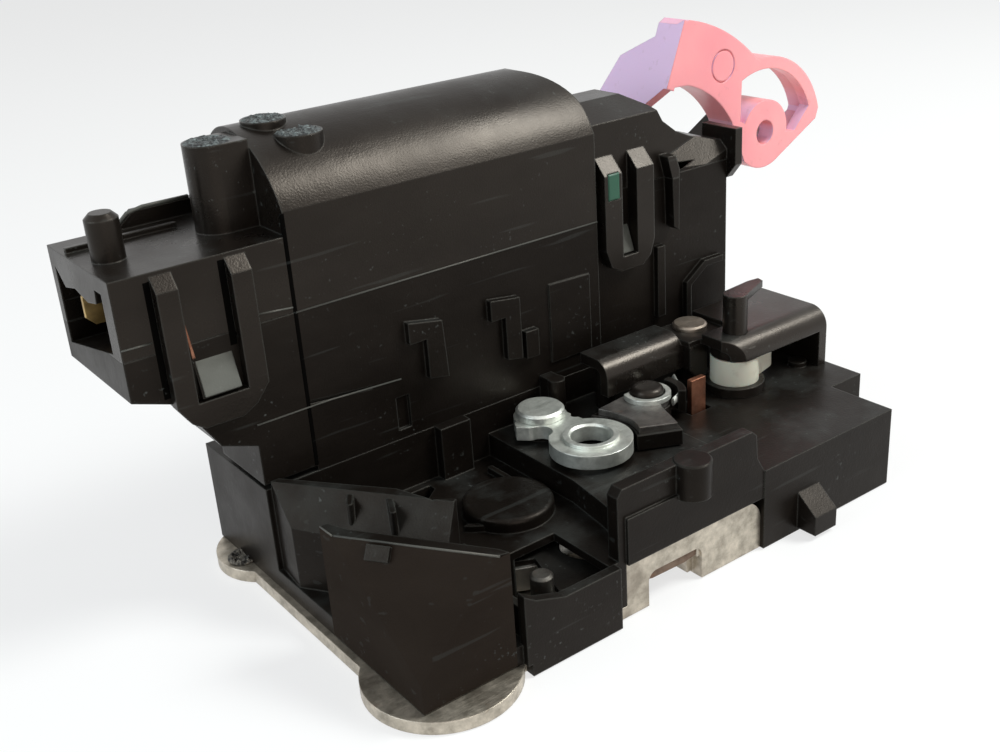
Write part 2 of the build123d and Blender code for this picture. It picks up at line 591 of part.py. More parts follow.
    # bores of the pivots and pins, pockets of the springs, slot of the pawl tab
    with BuildSketch(Plane.XY.offset(CHAMBER_TOP)):
        disc(PAWL_PIVOT, PIN_TOP_R + PIN_GAP)
        area(TAB_AT[0] - 2.9, TAB_AT[0] + 3.1, TAB_AT[1] - 1.5, TAB_AT[1] + 4)
    extrude(amount=10, mode=Mode.SUBTRACT)
    with BuildSketch(Plane.XY.offset(CHAMBER_TOP)):
        disc(CLAW_PIVOT, CLAW_PIN_R - 1 + PIN_GAP)
    extrude(amount=PIVOT_TOP + PIN_GAP - CHAMBER_TOP, mode=Mode.SUBTRACT)
    with BuildSketch(Plane.XY.offset(CHAMBER_TOP)):
        disc(CLAW_PIVOT, CLAW_POCKET_R)
    extrude(amount=CLAW_POCKET_TOP - CHAMBER_TOP, mode=Mode.SUBTRACT)
    with BuildSketch(Plane.XY.offset(CHAMBER_TOP)):
        disc(PAWL_PIVOT, PAWL_POCKET_R)
    extrude(amount=PAWL_POCKET_TOP - CHAMBER_TOP, mode=Mode.SUBTRACT)
    with BuildSketch(Plane.XY.offset(12.4)):
        disc(RELEASE_PIVOT, LEVER_PIN_R + PIN_GAP)
    extrude(amount=10, mode=Mode.SUBTRACT)
    with BuildSketch(Plane.XY.offset(8)):
        disc(CAM_AXIS, CAM_PIN_R + RUN)
    extrude(amount=12, mode=Mode.SUBTRACT)
    # collars and tips of the three fixing screws
    with BuildSketch(Plane.XY.offset(PLATE_T)):
        with Locations(*FIXINGS):
            Circle(COLLAR_R)
    extrude(amount=COLLAR_H, mode=Mode.SUBTRACT)
    with BuildSketch(Plane.XY.offset(PLATE_T)):
        with Locations(*FIXINGS):
            Circle(SCREW_R)
    extrude(amount=SCREW_TOP - PLATE_T, mode=Mode.SUBTRACT)
    # room under the lever's ring for the end of the rod
    with BuildSketch(Plane.XY.offset(DECK_Z - 1.5)):
        disc(RING_CENTRE, RING_BORE_R + 1.3)
    extrude(amount=3, mode=Mode.SUBTRACT)
    # circular moulding mark on the deck
    with BuildSketch(Plane.XY.offset(DECK_Z - 0.3)):
        disc((55.2, 5.2), 2.6)
        disc((55.2, 5.2), 2.1, mode=Mode.SUBTRACT)
    extrude(amount=1, mode=Mode.SUBTRACT)

# ================================================================ deck levers
# Release lever: a ring for the rod, an arm to the pivot, a tail beyond it
with BuildPart() as release_lever:
    with BuildSketch(Plane.XY.offset(LEVER_Z)):
        disc(RING_CENTRE, RING_R)
        strip(RING_CENTRE, RELEASE_PIVOT, 9.4)
        disc(RELEASE_PIVOT, CAP_R + 0.5)
        shape((52, 28.6), (47, 31.4), (45.2, 33.4), (46.2, 35.2), (52, 39.4))
        disc((47.6, 28.4), 2.6, mode=Mode.SUBTRACT)
        disc((57.9, 29.4), 1.1, mode=Mode.SUBTRACT)
        disc(RING_CENTRE, RING_BORE_R, mode=Mode.SUBTRACT)
        disc(RELEASE_PIVOT, LEVER_PIN_R + RUN, mode=Mode.SUBTRACT)
    extrude(amount=LEVER_T)
    with BuildSketch(Plane.XY.offset(LEVER_Z + LEVER_T)):
        disc(RING_CENTRE, RING_BORE_R + 1.6)
        disc(RING_CENTRE, RING_BORE_R, mode=Mode.SUBTRACT)
    extrude(amount=0.7)
    chamfer(release_lever.edges().filter_by(GeomType.CIRCLE).filter_by(
        lambda edge: abs(edge.radius - RING_BORE_R) < 0.01 and edge.center().Z > LEVER_Z + 3), 0.4)

with BuildPart() as release_pin:
    with BuildSketch(Plane.XY.offset(12.4)):
        disc(RELEASE_PIVOT, LEVER_PIN_R)
    extrude(amount=LEVER_Z + LEVER_T + RUN - 12.4)
    with BuildSketch(Plane.XY.offset(LEVER_Z + LEVER_T + RUN)):
        disc(RELEASE_PIVOT, CAP_R)
    extrude(amount=CAP_T)
    chamfer(release_pin.edges().group_by(Axis.Z)[-1], 0.5)

# Locking lever: black carrier on the pawl pivot, steel cover plate, crescent collar, hook
LOCK_SIDES = [(59.4, 27.3), (57.8, 15.4), (69.7, 9.4), (73.0, 17.9)]
LOCK_SWING_DEG = 7.0     # how far the locking lever turns from rest
RING_REACH = hypot(RING_CENTRE[0] - PAWL_PIVOT[0], RING_CENTRE[1] - PAWL_PIVOT[1])
RING_DIR = degrees(atan2(RING_CENTRE[1] - PAWL_PIVOT[1], RING_CENTRE[0] - PAWL_PIVOT[0]))
RING_PATH = [polar(PAWL_PIVOT, RING_REACH, RING_DIR - share * LOCK_SWING_DEG)
             for share in (0, 0.5, 1)]   # the ring's place as the locking lever sees it

with BuildPart() as lock_carrier:
    with BuildSketch(Plane.XY.offset(LOCK_Z)):
        shape(*LOCK_SIDES, (76, 22), (73.6, 29.2))
        disc(PAWL_PIVOT, 5.1)
        with Locations(*RING_PATH):
            Circle(RING_R + 0.8, mode=Mode.SUBTRACT)
        disc(PAWL_PIVOT, PIN_TOP_R + RUN, mode=Mode.SUBTRACT)
    extrude(amount=LOCK_CARRIER_T)
    with BuildSketch(turned_plane(PAWL_PIVOT, LOCK_Z + 1, TAB_DEG)):
        area(PIN_TOP_R + 1, 8, -1.2, 1.2)
    extrude(amount=LOCK_CARRIER_T - 1)
    with BuildSketch(turned_plane(PAWL_PIVOT, LOCK_Z + 1, TAB_DEG)):
        disc((0, 0), 8.3)
        disc((0, 0), 6.6, mode=Mode.SUBTRACT)
        shape((0, 0), (20, -9), (20, 14), mode=Mode.INTERSECT)
    extrude(amount=5)

with BuildPart() as lock_plate:
    with BuildSketch(Plane.XY.offset(LOCK_Z + LOCK_CARRIER_T)):
        shape((60.2, 26.4), (58.4, 16.2), (69.3, 10.5), (72.2, 18.2), (75, 22), (73.2, 28))
        disc(PAWL_PIVOT, 4.6)
        with Locations(*RING_PATH):
            Circle(RING_R + 1.4, mode=Mode.SUBTRACT)
        disc(PAWL_PIVOT, PIN_TOP_R + RUN, mode=Mode.SUBTRACT)
    extrude(amount=LOCK_PLATE_T)

with BuildPart() as lock_collar:
    with BuildSketch(Plane.XY.offset(LOCK_Z + LOCK_CARRIER_T + LOCK_PLATE_T)):
        disc(PAWL_PIVOT, 5.1)
        disc(PAWL_PIVOT, PIN_HEAD_R + 0.3, mode=Mode.SUBTRACT)
        area(PAWL_PIVOT[0] - 8.6, PAWL_PIVOT[0] + 5.4, PAWL_PIVOT[1] - 7.1, PAWL_PIVOT[1] + 2.4,
             mode=Mode.INTERSECT)
    extrude(amount=1.1)

# Cam: black flanged shaft with a locating wing, nylon cam round it
with BuildPart() as cam_shaft:
    with BuildSketch(Plane.XY.offset(8.2)):
        disc(CAM_AXIS, CAM_PIN_R)
    extrude(amount=PEG_TOP - 8.2)
    with BuildSketch(Plane.XY.offset(BLOCK_Z + 0.1)):
        disc(CAM_AXIS, CAM_FLANGE_R)
    extrude(amount=CAM_FLANGE_T)
    with BuildSketch(Plane.XY.offset(PEG_TOP - 1.5)):
        disc(CAM_AXIS, CAM_PIN_R)
        shape((CAM_AXIS[0], CAM_AXIS[1] - CAM_PIN_R), (108.4, 23.4), (108.9, 25.2),
              (106, 25.6), (CAM_AXIS[0], CAM_AXIS[1] + CAM_PIN_R))
    extrude(amount=1.5)
    chamfer(cam_shaft.edges().group_by(Axis.Z)[0], 0.6)

NYLON_TOP = ARM_SKIRT_R - 0.4
with BuildPart() as cam_block:
    with BuildSketch(Plane.XY.offset(BLOCK_Z + 0.1 + CAM_FLANGE_T)):
        disc(CAM_AXIS, NYLON_R)
        strip(CAM_AXIS, (CAM_AXIS[0] + NYLON_LOBE[0], CAM_AXIS[1] + NYLON_LOBE[1]),
              2 * NYLON_LOBE_R)
        disc(CAM_AXIS, CAM_PIN_R + PIN_GAP, mode=Mode.SUBTRACT)
    extrude(amount=NYLON_TOP - BLOCK_Z - 0.1 - CAM_FLANGE_T)

# Arm bracket: bent sheet over the levers, stepped half way, open under its right end
with BuildPart() as arm_bracket:
    with BuildSketch(side_plane(ARM_LEFT)):
        sheet_angle(ARM_FRONT_L, ARM_BACK, ARM_SKIRT_L, ARM_TOP, ARM_DROP_L / 2)
    extrude(amount=ARM_MID - ARM_LEFT)
    with BuildSketch(Plane.XY.offset(ARM_TOP - ARM_T)):
        area(ARM_MID - 1, ARM_STEP + 1, ARM_FRONT_L - 2.2, ARM_BACK)
    extrude(amount=ARM_T)
    with BuildSketch(side_plane(ARM_STEP)):
        sheet_angle(ARM_FRONT_R, ARM_BACK, ARM_SKIRT_R, ARM_TOP, 0.9 * ARM_DROP_R)
    extrude(amount=ARM_RIGHT - ARM_STEP)
    with BuildSketch(side_plane(ARM_RIGHT)):
        area(ARM_FRONT_R + 5, 34, BLOCK_Z, ARM_TOP - 1)
        area(ARM_FRONT_R, ARM_FRONT_R + 5, BLOCK_Z, ARM_TOP - 5)
        disc((ARM_FRONT_R + 5, ARM_TOP - 5), 5)
    extrude(amount=-ARM_T)
    with BuildSketch(Plane.XY.offset(ARM_SKIRT_R - 0.1)):
        disc(CAM_AXIS, NYLON_R)
    extrude(amount=ARM_TOP - ARM_T - ARM_SKIRT_R + 0.1)
    with BuildSketch(Plane.XY.offset(ARM_TOP - 1.2)):
        area(ARM_MID - 1, ARM_RIVET[0] + ARM_RIVET_R + 1.2, 26, ARM_BACK + 1)
    extrude(amount=3, mode=Mode.SUBTRACT)
    with BuildSketch(Plane.XY.offset(ARM_SKIRT_R - 1)):
        shape((ARM_STEP - 1, ARM_FRONT_R - 1), (ARM_STEP - 1, 21), (97, ARM_FRONT_R - 1))
        disc(CAM_AXIS, CAM_PIN_R + RUN)
    extrude(amount=9, mode=Mode.SUBTRACT)

with BuildPart() as arm_rivet:
    with BuildSketch(Plane.XY.offset(ARM_TOP - 1.2)):
        disc(ARM_RIVET, ARM_RIVET_R)
    extrude(amount=1.1)
    chamfer(arm_rivet.edges().group_by(Axis.Z)[-1], 0.4)

# ================================================================ drive unit
# Mouth of the connector, seen from its end: sloping floor, key in the roof
MOUTH = [(46.2, 58), (46.2, 69), (49.3, 69), (49.8, 66.3), (54.3, 65.4), (60.2, 66.5),
         (65.6, 65.4), (69.6, 68.6), (69.8, 53.4)]
BLADE = (-28.4, 6.0)     # tip of the connector blades, end of their strips inside
BLADE_Z = (58.4, 65.6)
BLADE_Y = (49.2, 62.2)
BLADE_T = 0.8
BLADE_OUTLINE = [(BLADE[0] + 1.6, BLADE_Z[0]), (BLADE[1], BLADE_Z[0]), (BLADE[1], BLADE_Z[1]),
                 (BLADE[0] + 1.6, BLADE_Z[1]), (BLADE[0], BLADE_Z[1] - 1.6),
                 (BLADE[0], BLADE_Z[0] + 1.6)]

# Lower case: open box on the rear deck, with the lower half of the connector and the leg
with BuildPart() as drive_case:
    with BuildSketch(Plane.XY.offset(UNIT_Z)):
        area(UNIT_LEFT, BARREL_RIGHT, UNIT_FRONT, UNIT_BACK)
        area(BARREL_RIGHT, UNIT_RIGHT, RECESS_Y, HOUSING_BACK)
    extrude(amount=SEAM_Z - UNIT_Z)
    with BuildSketch(Plane.XY.offset(SEAM_Z)):
        area(BARREL_RIGHT, UNIT_RIGHT, RECESS_Y, RIGHT_BACK)
    extrude(amount=COVER_SPLIT - SEAM_Z)
    with BuildSketch(front_plane(UNIT_FRONT)):
        shape((SOCKET_LEFT, SEAM_Z), (SOCKET_LEFT, SOCKET_Z), (-21, 47), (-19, 43), (-15, 36.5),
              (LEG_LEFT, 34), (LEG_LEFT, UNIT_Z + 1.1), (UNIT_LEFT, UNIT_Z + 1.1),
              (UNIT_LEFT, SEAM_Z))
    extrude(amount=-(UNIT_BACK - UNIT_FRONT))
    with BuildSketch(Plane.XY.offset(UNIT_Z)):
        area(SOCKET_LEFT - 1, UNIT_LEFT, 60, UNIT_BACK + 1)
    extrude(amount=22, mode=Mode.SUBTRACT)
    with BuildSketch(side_plane(SOCKET_LEFT - 1)):
        shape(*MOUTH)
    extrude(amount=SOCKET_DEPTH + 1, mode=Mode.SUBTRACT)
    # inside
    with BuildSketch(Plane.XY.offset(UNIT_Z + UNIT_WALL)):
        area(UNIT_LEFT + UNIT_WALL, BARREL_RIGHT - UNIT_WALL, UNIT_FRONT + UNIT_WALL,
             UNIT_BACK - UNIT_WALL)
        area(BARREL_RIGHT, UNIT_RIGHT - UNIT_WALL, RECESS_Y + UNIT_WALL,
             RIGHT_BACK - UNIT_WALL)
    extrude(amount=COVER_SPLIT - UNIT_Z, mode=Mode.SUBTRACT)
    # bosses of the wheel spindle, cradle ribs of the motor
    with BuildSketch(front_plane(UNIT_FRONT + UNIT_WALL)):
        disc((WHEEL_X, WHEEL_Z), 5)
    extrude(amount=-8)
    with BuildSketch(front_plane(UNIT_BACK - UNIT_WALL)):
        disc((WHEEL_X, WHEEL_Z), 5)
    extrude(amount=5.4)
    with BuildSketch(front_plane(UNIT_FRONT + 1)):
        disc((WHEEL_X, WHEEL_Z), SPINDLE_R + PIN_GAP)
    extrude(amount=-(UNIT_BACK - UNIT_FRONT - 2), mode=Mode.SUBTRACT)
    with BuildSketch(Plane.XY.offset(UNIT_Z + UNIT_WALL)):
        area(12, 14, 48, 64)
        area(30, 31.6, 48, 59)
    extrude(amount=MOTOR_Z - MOTOR_FLAT / 2 - UNIT_Z - UNIT_WALL)
    # ramps that the cover's loops catch
    with BuildSketch(side_plane(-17.5)):
        shape((UNIT_FRONT, 53.5), (UNIT_FRONT - 1.7, 48.2), (UNIT_FRONT - 1.7, 47.4),
              (UNIT_FRONT, 47.4))
    extrude(amount=7.2)
    with BuildSketch(side_plane(83.1)):
        shape((RECESS_Y, 54), (UNIT_FRONT + 0.3, 49.4), (UNIT_FRONT + 0.3, 48.7),
              (RECESS_Y, 48.7))
    extrude(amount=4)
    # raised details of the front wall
    with BuildSketch(front_plane(UNIT_FRONT - 1.5)):
        shape((26, 49), (34, 47.5), (34.6, 35.2), (30, 36), (30, 44.5), (26, 44.5))
        shape((46, 48), (53.5, 47), (53.5, 33.2), (49.6, 34), (49.6, 43.5), (46, 43.5))
        area(54.6, 58, 32.6, 38.7)
    extrude(amount=-1.5)
    with BuildSketch(front_plane(UNIT_FRONT - 0.4)):
        shape((62.2, 29), (62.2, 47), (73.5, 46.6), (73.5, 29))
    extrude(amount=-0.4)
    with BuildSketch(front_plane(UNIT_FRONT - 1)):
        area(UNIT_LEFT + 19, UNIT_LEFT + 22, 26.5, 33.6)
        shape((UNIT_LEFT, 39.4), (UNIT_LEFT + 14, 38), (UNIT_LEFT + 14, 37.4),
              (UNIT_LEFT, 38.8))
    extrude(amount=-1.7, mode=Mode.SUBTRACT)
    with BuildSketch(front_plane(RECESS_Y - 1.4)):
        area(94.8, 97.1, 30, 47)
        shape((104, UNIT_Z + 2), (104, 36), (110, 40), (116, 40), (116, 38.5), (110.6, 38.5),
              (105.5, 35), (105.5, UNIT_Z + 2))
    extrude(amount=-1.4)
    # lower part of the fin beside the snap
    with BuildSketch(front_plane(RECESS_Y - FIN_H)):
        shape((98.3, COVER_SPLIT), (98.7, 51.2), (100.2, 50.2), (100.4, COVER_SPLIT))
    extrude(amount=-FIN_H)
    # lug behind the bell crank that carries its stud
    with BuildSketch(front_plane(CRANK_Y + 9.8)):
        shape((UNIT_RIGHT - 4, 56), (UNIT_RIGHT - 4, 42), (UNIT_RIGHT, 42),
              (CRANK_PIVOT[0] + 3, CRANK_PIVOT[1] - 5.4),
              (CRANK_PIVOT[0] - 2.4, CRANK_PIVOT[1] + 5.6),
              (UNIT_RIGHT, 56))
        disc(CRANK_PIVOT, CRANK_BOSS_R - 2)
    extrude(amount=-4.6)
    with BuildSketch(front_plane(CRANK_Y + 9)):
        disc(CRANK_PIVOT, 2 + PIN_GAP)
    extrude(amount=-4.4, mode=Mode.SUBTRACT)

# Upper cover: barrel over the motor, low right section, connector mouth, snap loops
with BuildPart() as drive_cover:
    with BuildSketch(side_plane(UNIT_LEFT)):
        with BuildLine():
            Polyline((UNIT_BACK, BARREL_REAR_Z), (UNIT_BACK, SEAM_Z), (UNIT_FRONT, SEAM_Z),
                     (UNIT_FRONT, BARREL_SPRING_Z))
            ThreePointArc((UNIT_FRONT, BARREL_SPRING_Z), (48.5, BARREL_TOP - 4.4),
                          (60, BARREL_TOP))
            ThreePointArc((60, BARREL_TOP), (68, BARREL_TOP - 2.4), (UNIT_BACK, BARREL_REAR_Z))
        make_face()
    extrude(amount=BARREL_RIGHT - UNIT_LEFT)
    with BuildSketch(front_plane(UNIT_FRONT - 1)):
        area(UNIT_LEFT - 1, BARREL_RIGHT - 8, SEAM_Z - 1, BARREL_TOP + 0.5)
        area(UNIT_LEFT - 1, BARREL_RIGHT, SEAM_Z - 1, BARREL_TOP - 8)
        disc((BARREL_RIGHT - 8, BARREL_TOP - 8), 8)
    extrude(amount=-40, mode=Mode.INTERSECT)
    # round bosses on the barrel
    with BuildSketch(Plane.XY.offset(BARREL_SPRING_Z)):
        disc((10.4, 59.2), 4.3)
    extrude(amount=BARREL_TOP + 0.6 - BARREL_SPRING_Z)
    with BuildSketch(Plane.XY.offset(BARREL_SPRING_Z)):
        disc((13.8, 52.3), 4.6)
    extrude(amount=BARREL_TOP - 1.4 - BARREL_SPRING_Z)
    # right section: label field, shoulder and a roof that falls to the right
    with BuildSketch(front_plane(RECESS_Y)):
        shape((BARREL_RIGHT, COVER_SPLIT), (BARREL_RIGHT, LABEL_Z), (92.4, LABEL_Z),
              (95.8, LABEL_Z - 2.4), (98, LABEL_Z - 6), (102, LABEL_Z - 9), (109, LABEL_Z - 12),
              (UNIT_RIGHT, LABEL_Z - 14.4), (UNIT_RIGHT, COVER_SPLIT))
    extrude(amount=-(RIGHT_BACK - RECESS_Y))
    with BuildSketch(side_plane(BARREL_RIGHT)):
        shape((RECESS_Y - 1, LABEL_Z - 3.7), (52, LABEL_Z), (52, LABEL_Z + 1),
              (RECESS_Y - 1, LABEL_Z + 1))
    extrude(amount=30, mode=Mode.SUBTRACT)
    with BuildSketch(Plane(origin=(UNIT_RIGHT, RECESS_Y, COVER_SPLIT + 2.4), x_dir=(1, 0, -0.34),
                           z_dir=(-0.24, -0.66, 0.71))):
        area(-19, 6, -8, 9)
    extrude(amount=6, mode=Mode.SUBTRACT)
    # connector, column, peg and ribs
    with BuildSketch(Plane.XY.offset(SEAM_Z)):
        area(SOCKET_LEFT, UNIT_LEFT, UNIT_FRONT, UNIT_BACK)
    extrude(amount=SOCKET_TOP - SEAM_Z)
    with BuildSketch(Plane.XY.offset(SOCKET_TOP)):
        area(-2.4, UNIT_LEFT, 51.8, 61)
        disc((-2.4, 56.4), 4.6)
    extrude(amount=COLUMN_TOP - SOCKET_TOP)
    with BuildSketch(Plane.XY.offset(SOCKET_TOP)):
        disc((-24.5, 54.5), 3)
    extrude(amount=8.5)
    chamfer(drive_cover.edges().filter_by(GeomType.CIRCLE).filter_by(
        lambda edge: abs(edge.radius - 3) < 0.01 and edge.center().Z > SOCKET_TOP + 8), 1)
    with BuildSketch(Plane.XY.offset(SOCKET_TOP)):
        area(-13.5, UNIT_LEFT, UNIT_BACK - 2, UNIT_BACK)
    extrude(amount=3.1)
    with BuildSketch(front_plane(UNIT_BACK)):
        shape((-17.5, SOCKET_TOP), (-13.5, SOCKET_TOP + 3.1), (-13.5, SOCKET_TOP))
    extrude(amount=2)
    with BuildSketch(Plane.XY.offset(SOCKET_TOP)):
        area(-29, -8, 63.5, 64.5)
    extrude(amount=1)
    # loops of the two snaps, their legs bevelled at the top
    with BuildSketch(front_plane(UNIT_FRONT - LOOP_H)):
        shape((-22.6, SOCKET_TOP), (-22.6, 47), (-20.4, 43.6), (-18, 42), (-10.6, 42),
              (-7.6, 43.6), (-4.8, 47), (-4.8, SOCKET_TOP))
        shape((-18.6, SOCKET_TOP + 1), (-18.6, 47), (-8.8, 47), (-8.8, SOCKET_TOP + 1),
              mode=Mode.SUBTRACT)
    extrude(amount=-LOOP_H)
    with BuildSketch(front_plane(UNIT_FRONT - LOOP_H + 1)):
        shape((78, LOOP_TOP), (78, 50.5), (79.5, 46.5), (82, 45), (88.6, 45), (91, 46.8),
              (92.2, 50.5), (92.2, LOOP_TOP))
        shape((82.9, LOOP_TOP + 1), (82.9, 48.2), (87.2, 48.2), (87.2, LOOP_TOP + 1),
              mode=Mode.SUBTRACT)
    extrude(amount=UNIT_FRONT - LOOP_H + 1 - RECESS_Y)
    with BuildSketch(side_plane(-24)):
        shape((UNIT_FRONT - LOOP_H - 1, SOCKET_TOP + 1), (UNIT_FRONT - LOOP_H - 1, 67.4),
              (UNIT_FRONT, 71.2), (UNIT_FRONT, SOCKET_TOP + 1))
    extrude(amount=24, mode=Mode.SUBTRACT)
    with BuildSketch(side_plane(BARREL_RIGHT + 0.6)):
        shape((UNIT_FRONT - LOOP_H, LOOP_TOP + 1), (UNIT_FRONT - LOOP_H, LOOP_TOP - 4.6),
              (RECESS_Y, LOOP_TOP), (RECESS_Y, LOOP_TOP + 1))
    extrude(amount=18, mode=Mode.SUBTRACT)
    # seat of the green insert in the left leg
    with BuildSketch(front_plane(UNIT_FRONT - LOOP_H)):
        area(*INSERT_X, *INSERT_Z)
    extrude(amount=-LOOP_H, mode=Mode.SUBTRACT)
    # fin and upright slab of the right section
    with BuildSketch(front_plane(RECESS_Y - FIN_H)):
        shape((98.3, COVER_SPLIT), (96.8, 67.6), (99.2, 67.6), (100.4, 64.4),
              (100.4, COVER_SPLIT))
    extrude(amount=-FIN_H)
    with BuildSketch(side_plane(UNIT_RIGHT)):
        shape((UNIT_FRONT - 0.8, 61.4), (UNIT_FRONT - 0.8, 69.8), (52, 69.8), (52, COVER_SPLIT),
              (RECESS_Y + 1, COVER_SPLIT), (RECESS_Y, 58))
    extrude(amount=TAB_SLAB)
    # inside of the barrel
    with BuildSketch(side_plane(UNIT_LEFT + UNIT_WALL)):
        with BuildLine():
            Polyline((UNIT_BACK - 2, BARREL_TOP - 11.5), (UNIT_BACK - 2, SEAM_Z),
                     (UNIT_FRONT + 2, SEAM_Z),
                     (UNIT_FRONT + 2, BARREL_TOP - 13.4))
            ThreePointArc((UNIT_FRONT + 2, BARREL_TOP - 13.4), (50.2, BARREL_TOP - 6.6),
                          (60, BARREL_TOP - 3))
            ThreePointArc((60, BARREL_TOP - 3), (66.6, BARREL_TOP - 5.2),
                          (UNIT_BACK - 2, BARREL_TOP - 11.5))
        make_face()
    extrude(amount=BARREL_RIGHT - UNIT_LEFT - 6, mode=Mode.SUBTRACT)
    with BuildSketch(Plane.XY.offset(COVER_SPLIT)):
        area(BARREL_RIGHT + 2, UNIT_RIGHT - 2, RECESS_Y + 2, RIGHT_BACK - 2)
    extrude(amount=1.2, mode=Mode.SUBTRACT)
    # pads that hold the motor down, bearing of the worm's far end
    with BuildSketch(Plane.XY.offset(MOTOR_Z + MOTOR_FLAT / 2)):
        area(12, 14, 52, 62)
        area(30, 32, 52, 62)
    extrude(amount=6.6)
    with BuildSketch(side_plane(62)):
        shape((52, MOTOR_Z - 3), (60, MOTOR_Z - 3), (60, BARREL_TOP - 2.6),
              (54, BARREL_TOP - 4))
    extrude(amount=2)
    with BuildSketch(side_plane(61)):
        disc((MOTOR_Y, MOTOR_Z), SHAFT_R + RUN)
    extrude(amount=4, mode=Mode.SUBTRACT)
    # mouth of the connector, slots of the two blades
    with BuildSketch(side_plane(SOCKET_LEFT - 1)):
        shape(*MOUTH)
    extrude(amount=SOCKET_DEPTH + 1, mode=Mode.SUBTRACT)
    with BuildSketch(side_plane(CONNECTOR_IN - 1)):
        for middle in BLADE_Y:
            area(middle - BLADE_T / 2, middle + BLADE_T / 2, *BLADE_Z)
    extrude(amount=UNIT_LEFT + UNIT_WALL - CONNECTOR_IN + 2, mode=Mode.SUBTRACT)

with BuildPart() as blade_front:
    with BuildSketch(front_plane(BLADE_Y[0] - BLADE_T / 2)):
        shape(*BLADE_OUTLINE)
    extrude(amount=-BLADE_T)

with BuildPart() as blade_rear:
    with BuildSketch(front_plane(BLADE_Y[1] - BLADE_T / 2)):
        shape(*BLADE_OUTLINE)
    extrude(amount=-BLADE_T)

# Small green insert in the leg of the right snap
with BuildPart() as snap_insert:
    with BuildSketch(front_plane(UNIT_FRONT - LOOP_H + 0.8)):
        area(INSERT_X[0] + PIN_GAP, INSERT_X[1] - PIN_GAP, INSERT_Z[0] + PIN_GAP,
             INSERT_Z[1] - PIN_GAP)
    extrude(amount=-1.2)
    chamfer(snap_insert.edges().group_by(Axis.Y)[0], 0.2)

# ================================================================ motor and gearing
with BuildPart() as motor:
    with BuildSketch(side_plane(MOTOR_X)):
        disc((MOTOR_Y, MOTOR_Z), MOTOR_R)
        area(MOTOR_Y - MOTOR_R, MOTOR_Y + MOTOR_R, MOTOR_Z - MOTOR_FLAT / 2,
             MOTOR_Z + MOTOR_FLAT / 2, mode=Mode.INTERSECT)
        disc((MOTOR_Y, MOTOR_Z), SHAFT_R + RUN, mode=Mode.SUBTRACT)
    extrude(amount=MOTOR_L)
    with BuildSketch(side_plane(MOTOR_X + MOTOR_L)):
        disc((MOTOR_Y, MOTOR_Z), 3)
        disc((MOTOR_Y, MOTOR_Z), SHAFT_R + RUN, mode=Mode.SUBTRACT)
    extrude(amount=1.6)

with BuildPart() as motor_cap:
    with BuildSketch(side_plane(MOTOR_X)):
        disc((MOTOR_Y, MOTOR_Z), MOTOR_R - 0.6)
        area(MOTOR_Y - MOTOR_R, MOTOR_Y + MOTOR_R, MOTOR_Z - 7.4, MOTOR_Z + 7.4,
             mode=Mode.INTERSECT)
        disc((MOTOR_Y, MOTOR_Z), SHAFT_R + RUN, mode=Mode.SUBTRACT)
    extrude(amount=-2.2)

with BuildPart() as motor_shaft:
    with BuildSketch(side_plane(UNIT_LEFT + 3)):
        disc((MOTOR_Y, MOTOR_Z), SHAFT_R)
    extrude(amount=65.4 - UNIT_LEFT - 3)

with BuildPart() as worm:
    with BuildSketch(side_plane(WHEEL_X - WORM_L / 2)):
        disc((MOTOR_Y, MOTOR_Z), WORM_R - 1)
        disc((MOTOR_Y, MOTOR_Z), SHAFT_R + PIN_GAP, mode=Mode.SUBTRACT)
    extrude(amount=WORM_L)
    for step in range(-2, 3):
        with BuildSketch(side_plane(WHEEL_X + 2.9 * step - 0.6)):
            disc((MOTOR_Y, MOTOR_Z), WORM_R)
            disc((MOTOR_Y, MOTOR_Z), WORM_R - 1.4, mode=Mode.SUBTRACT)
        extrude(amount=1.2)

with BuildPart() as worm_wheel:
    with BuildSketch(Plane(origin=(WHEEL_X, MOTOR_Y - WHEEL_T / 2, WHEEL_Z),
                           x_dir=(1, 0, 0), z_dir=(0, 1, 0))):
        Circle(WHEEL_R - 1.5)
        with PolarLocations(WHEEL_R - 0.9, WHEEL_TEETH):
            Rectangle(1.8, 1.5)
        Circle(WHEEL_R, mode=Mode.INTERSECT)
        Circle(SPINDLE_R + RUN, mode=Mode.SUBTRACT)
        with PolarLocations(9.5, 6):
            Circle(2.6, mode=Mode.SUBTRACT)
    extrude(amount=WHEEL_T)

with BuildPart() as drive_cam:
    with BuildSketch(Plane(origin=(WHEEL_X, MOTOR_Y + WHEEL_T / 2, WHEEL_Z),
                           x_dir=(1, 0, 0), z_dir=(0, 1, 0))):
        Circle(6)
        Circle(SPINDLE_R + RUN, mode=Mode.SUBTRACT)
    extrude(amount=1.2)
    with BuildSketch(Plane(origin=(WHEEL_X, MOTOR_Y + WHEEL_T / 2 + 1.2, WHEEL_Z),
                           x_dir=(1, 0, 0), z_dir=(0, 1, 0))):
        Circle(9)
        with Locations((0, 6.5)):
            Circle(CAM_LOBE_R - 6.5)
        Circle(SPINDLE_R + RUN, mode=Mode.SUBTRACT)
    extrude(amount=3)

with BuildPart() as wheel_spindle:
    with BuildSketch(front_plane(UNIT_FRONT + 1.2)):
        disc((WHEEL_X, WHEEL_Z), SPINDLE_R)
    extrude(amount=-(UNIT_BACK - UNIT_FRONT - 2.4))

# Two limit switches read the cam
SWITCH_Y = 60.2
with BuildPart() as switch_side:
    with BuildSketch(front_plane(SWITCH_Y)):
        area(WHEEL_X + 13, BARREL_RIGHT - 4.4, WHEEL_Z - 7, WHEEL_Z + 6)
    extrude(amount=-6)
    with BuildSketch(side_plane(WHEEL_X + 12)):
        disc((SWITCH_Y + 2, WHEEL_Z), 1 + RUN)
    extrude(amount=6.4, mode=Mode.SUBTRACT)

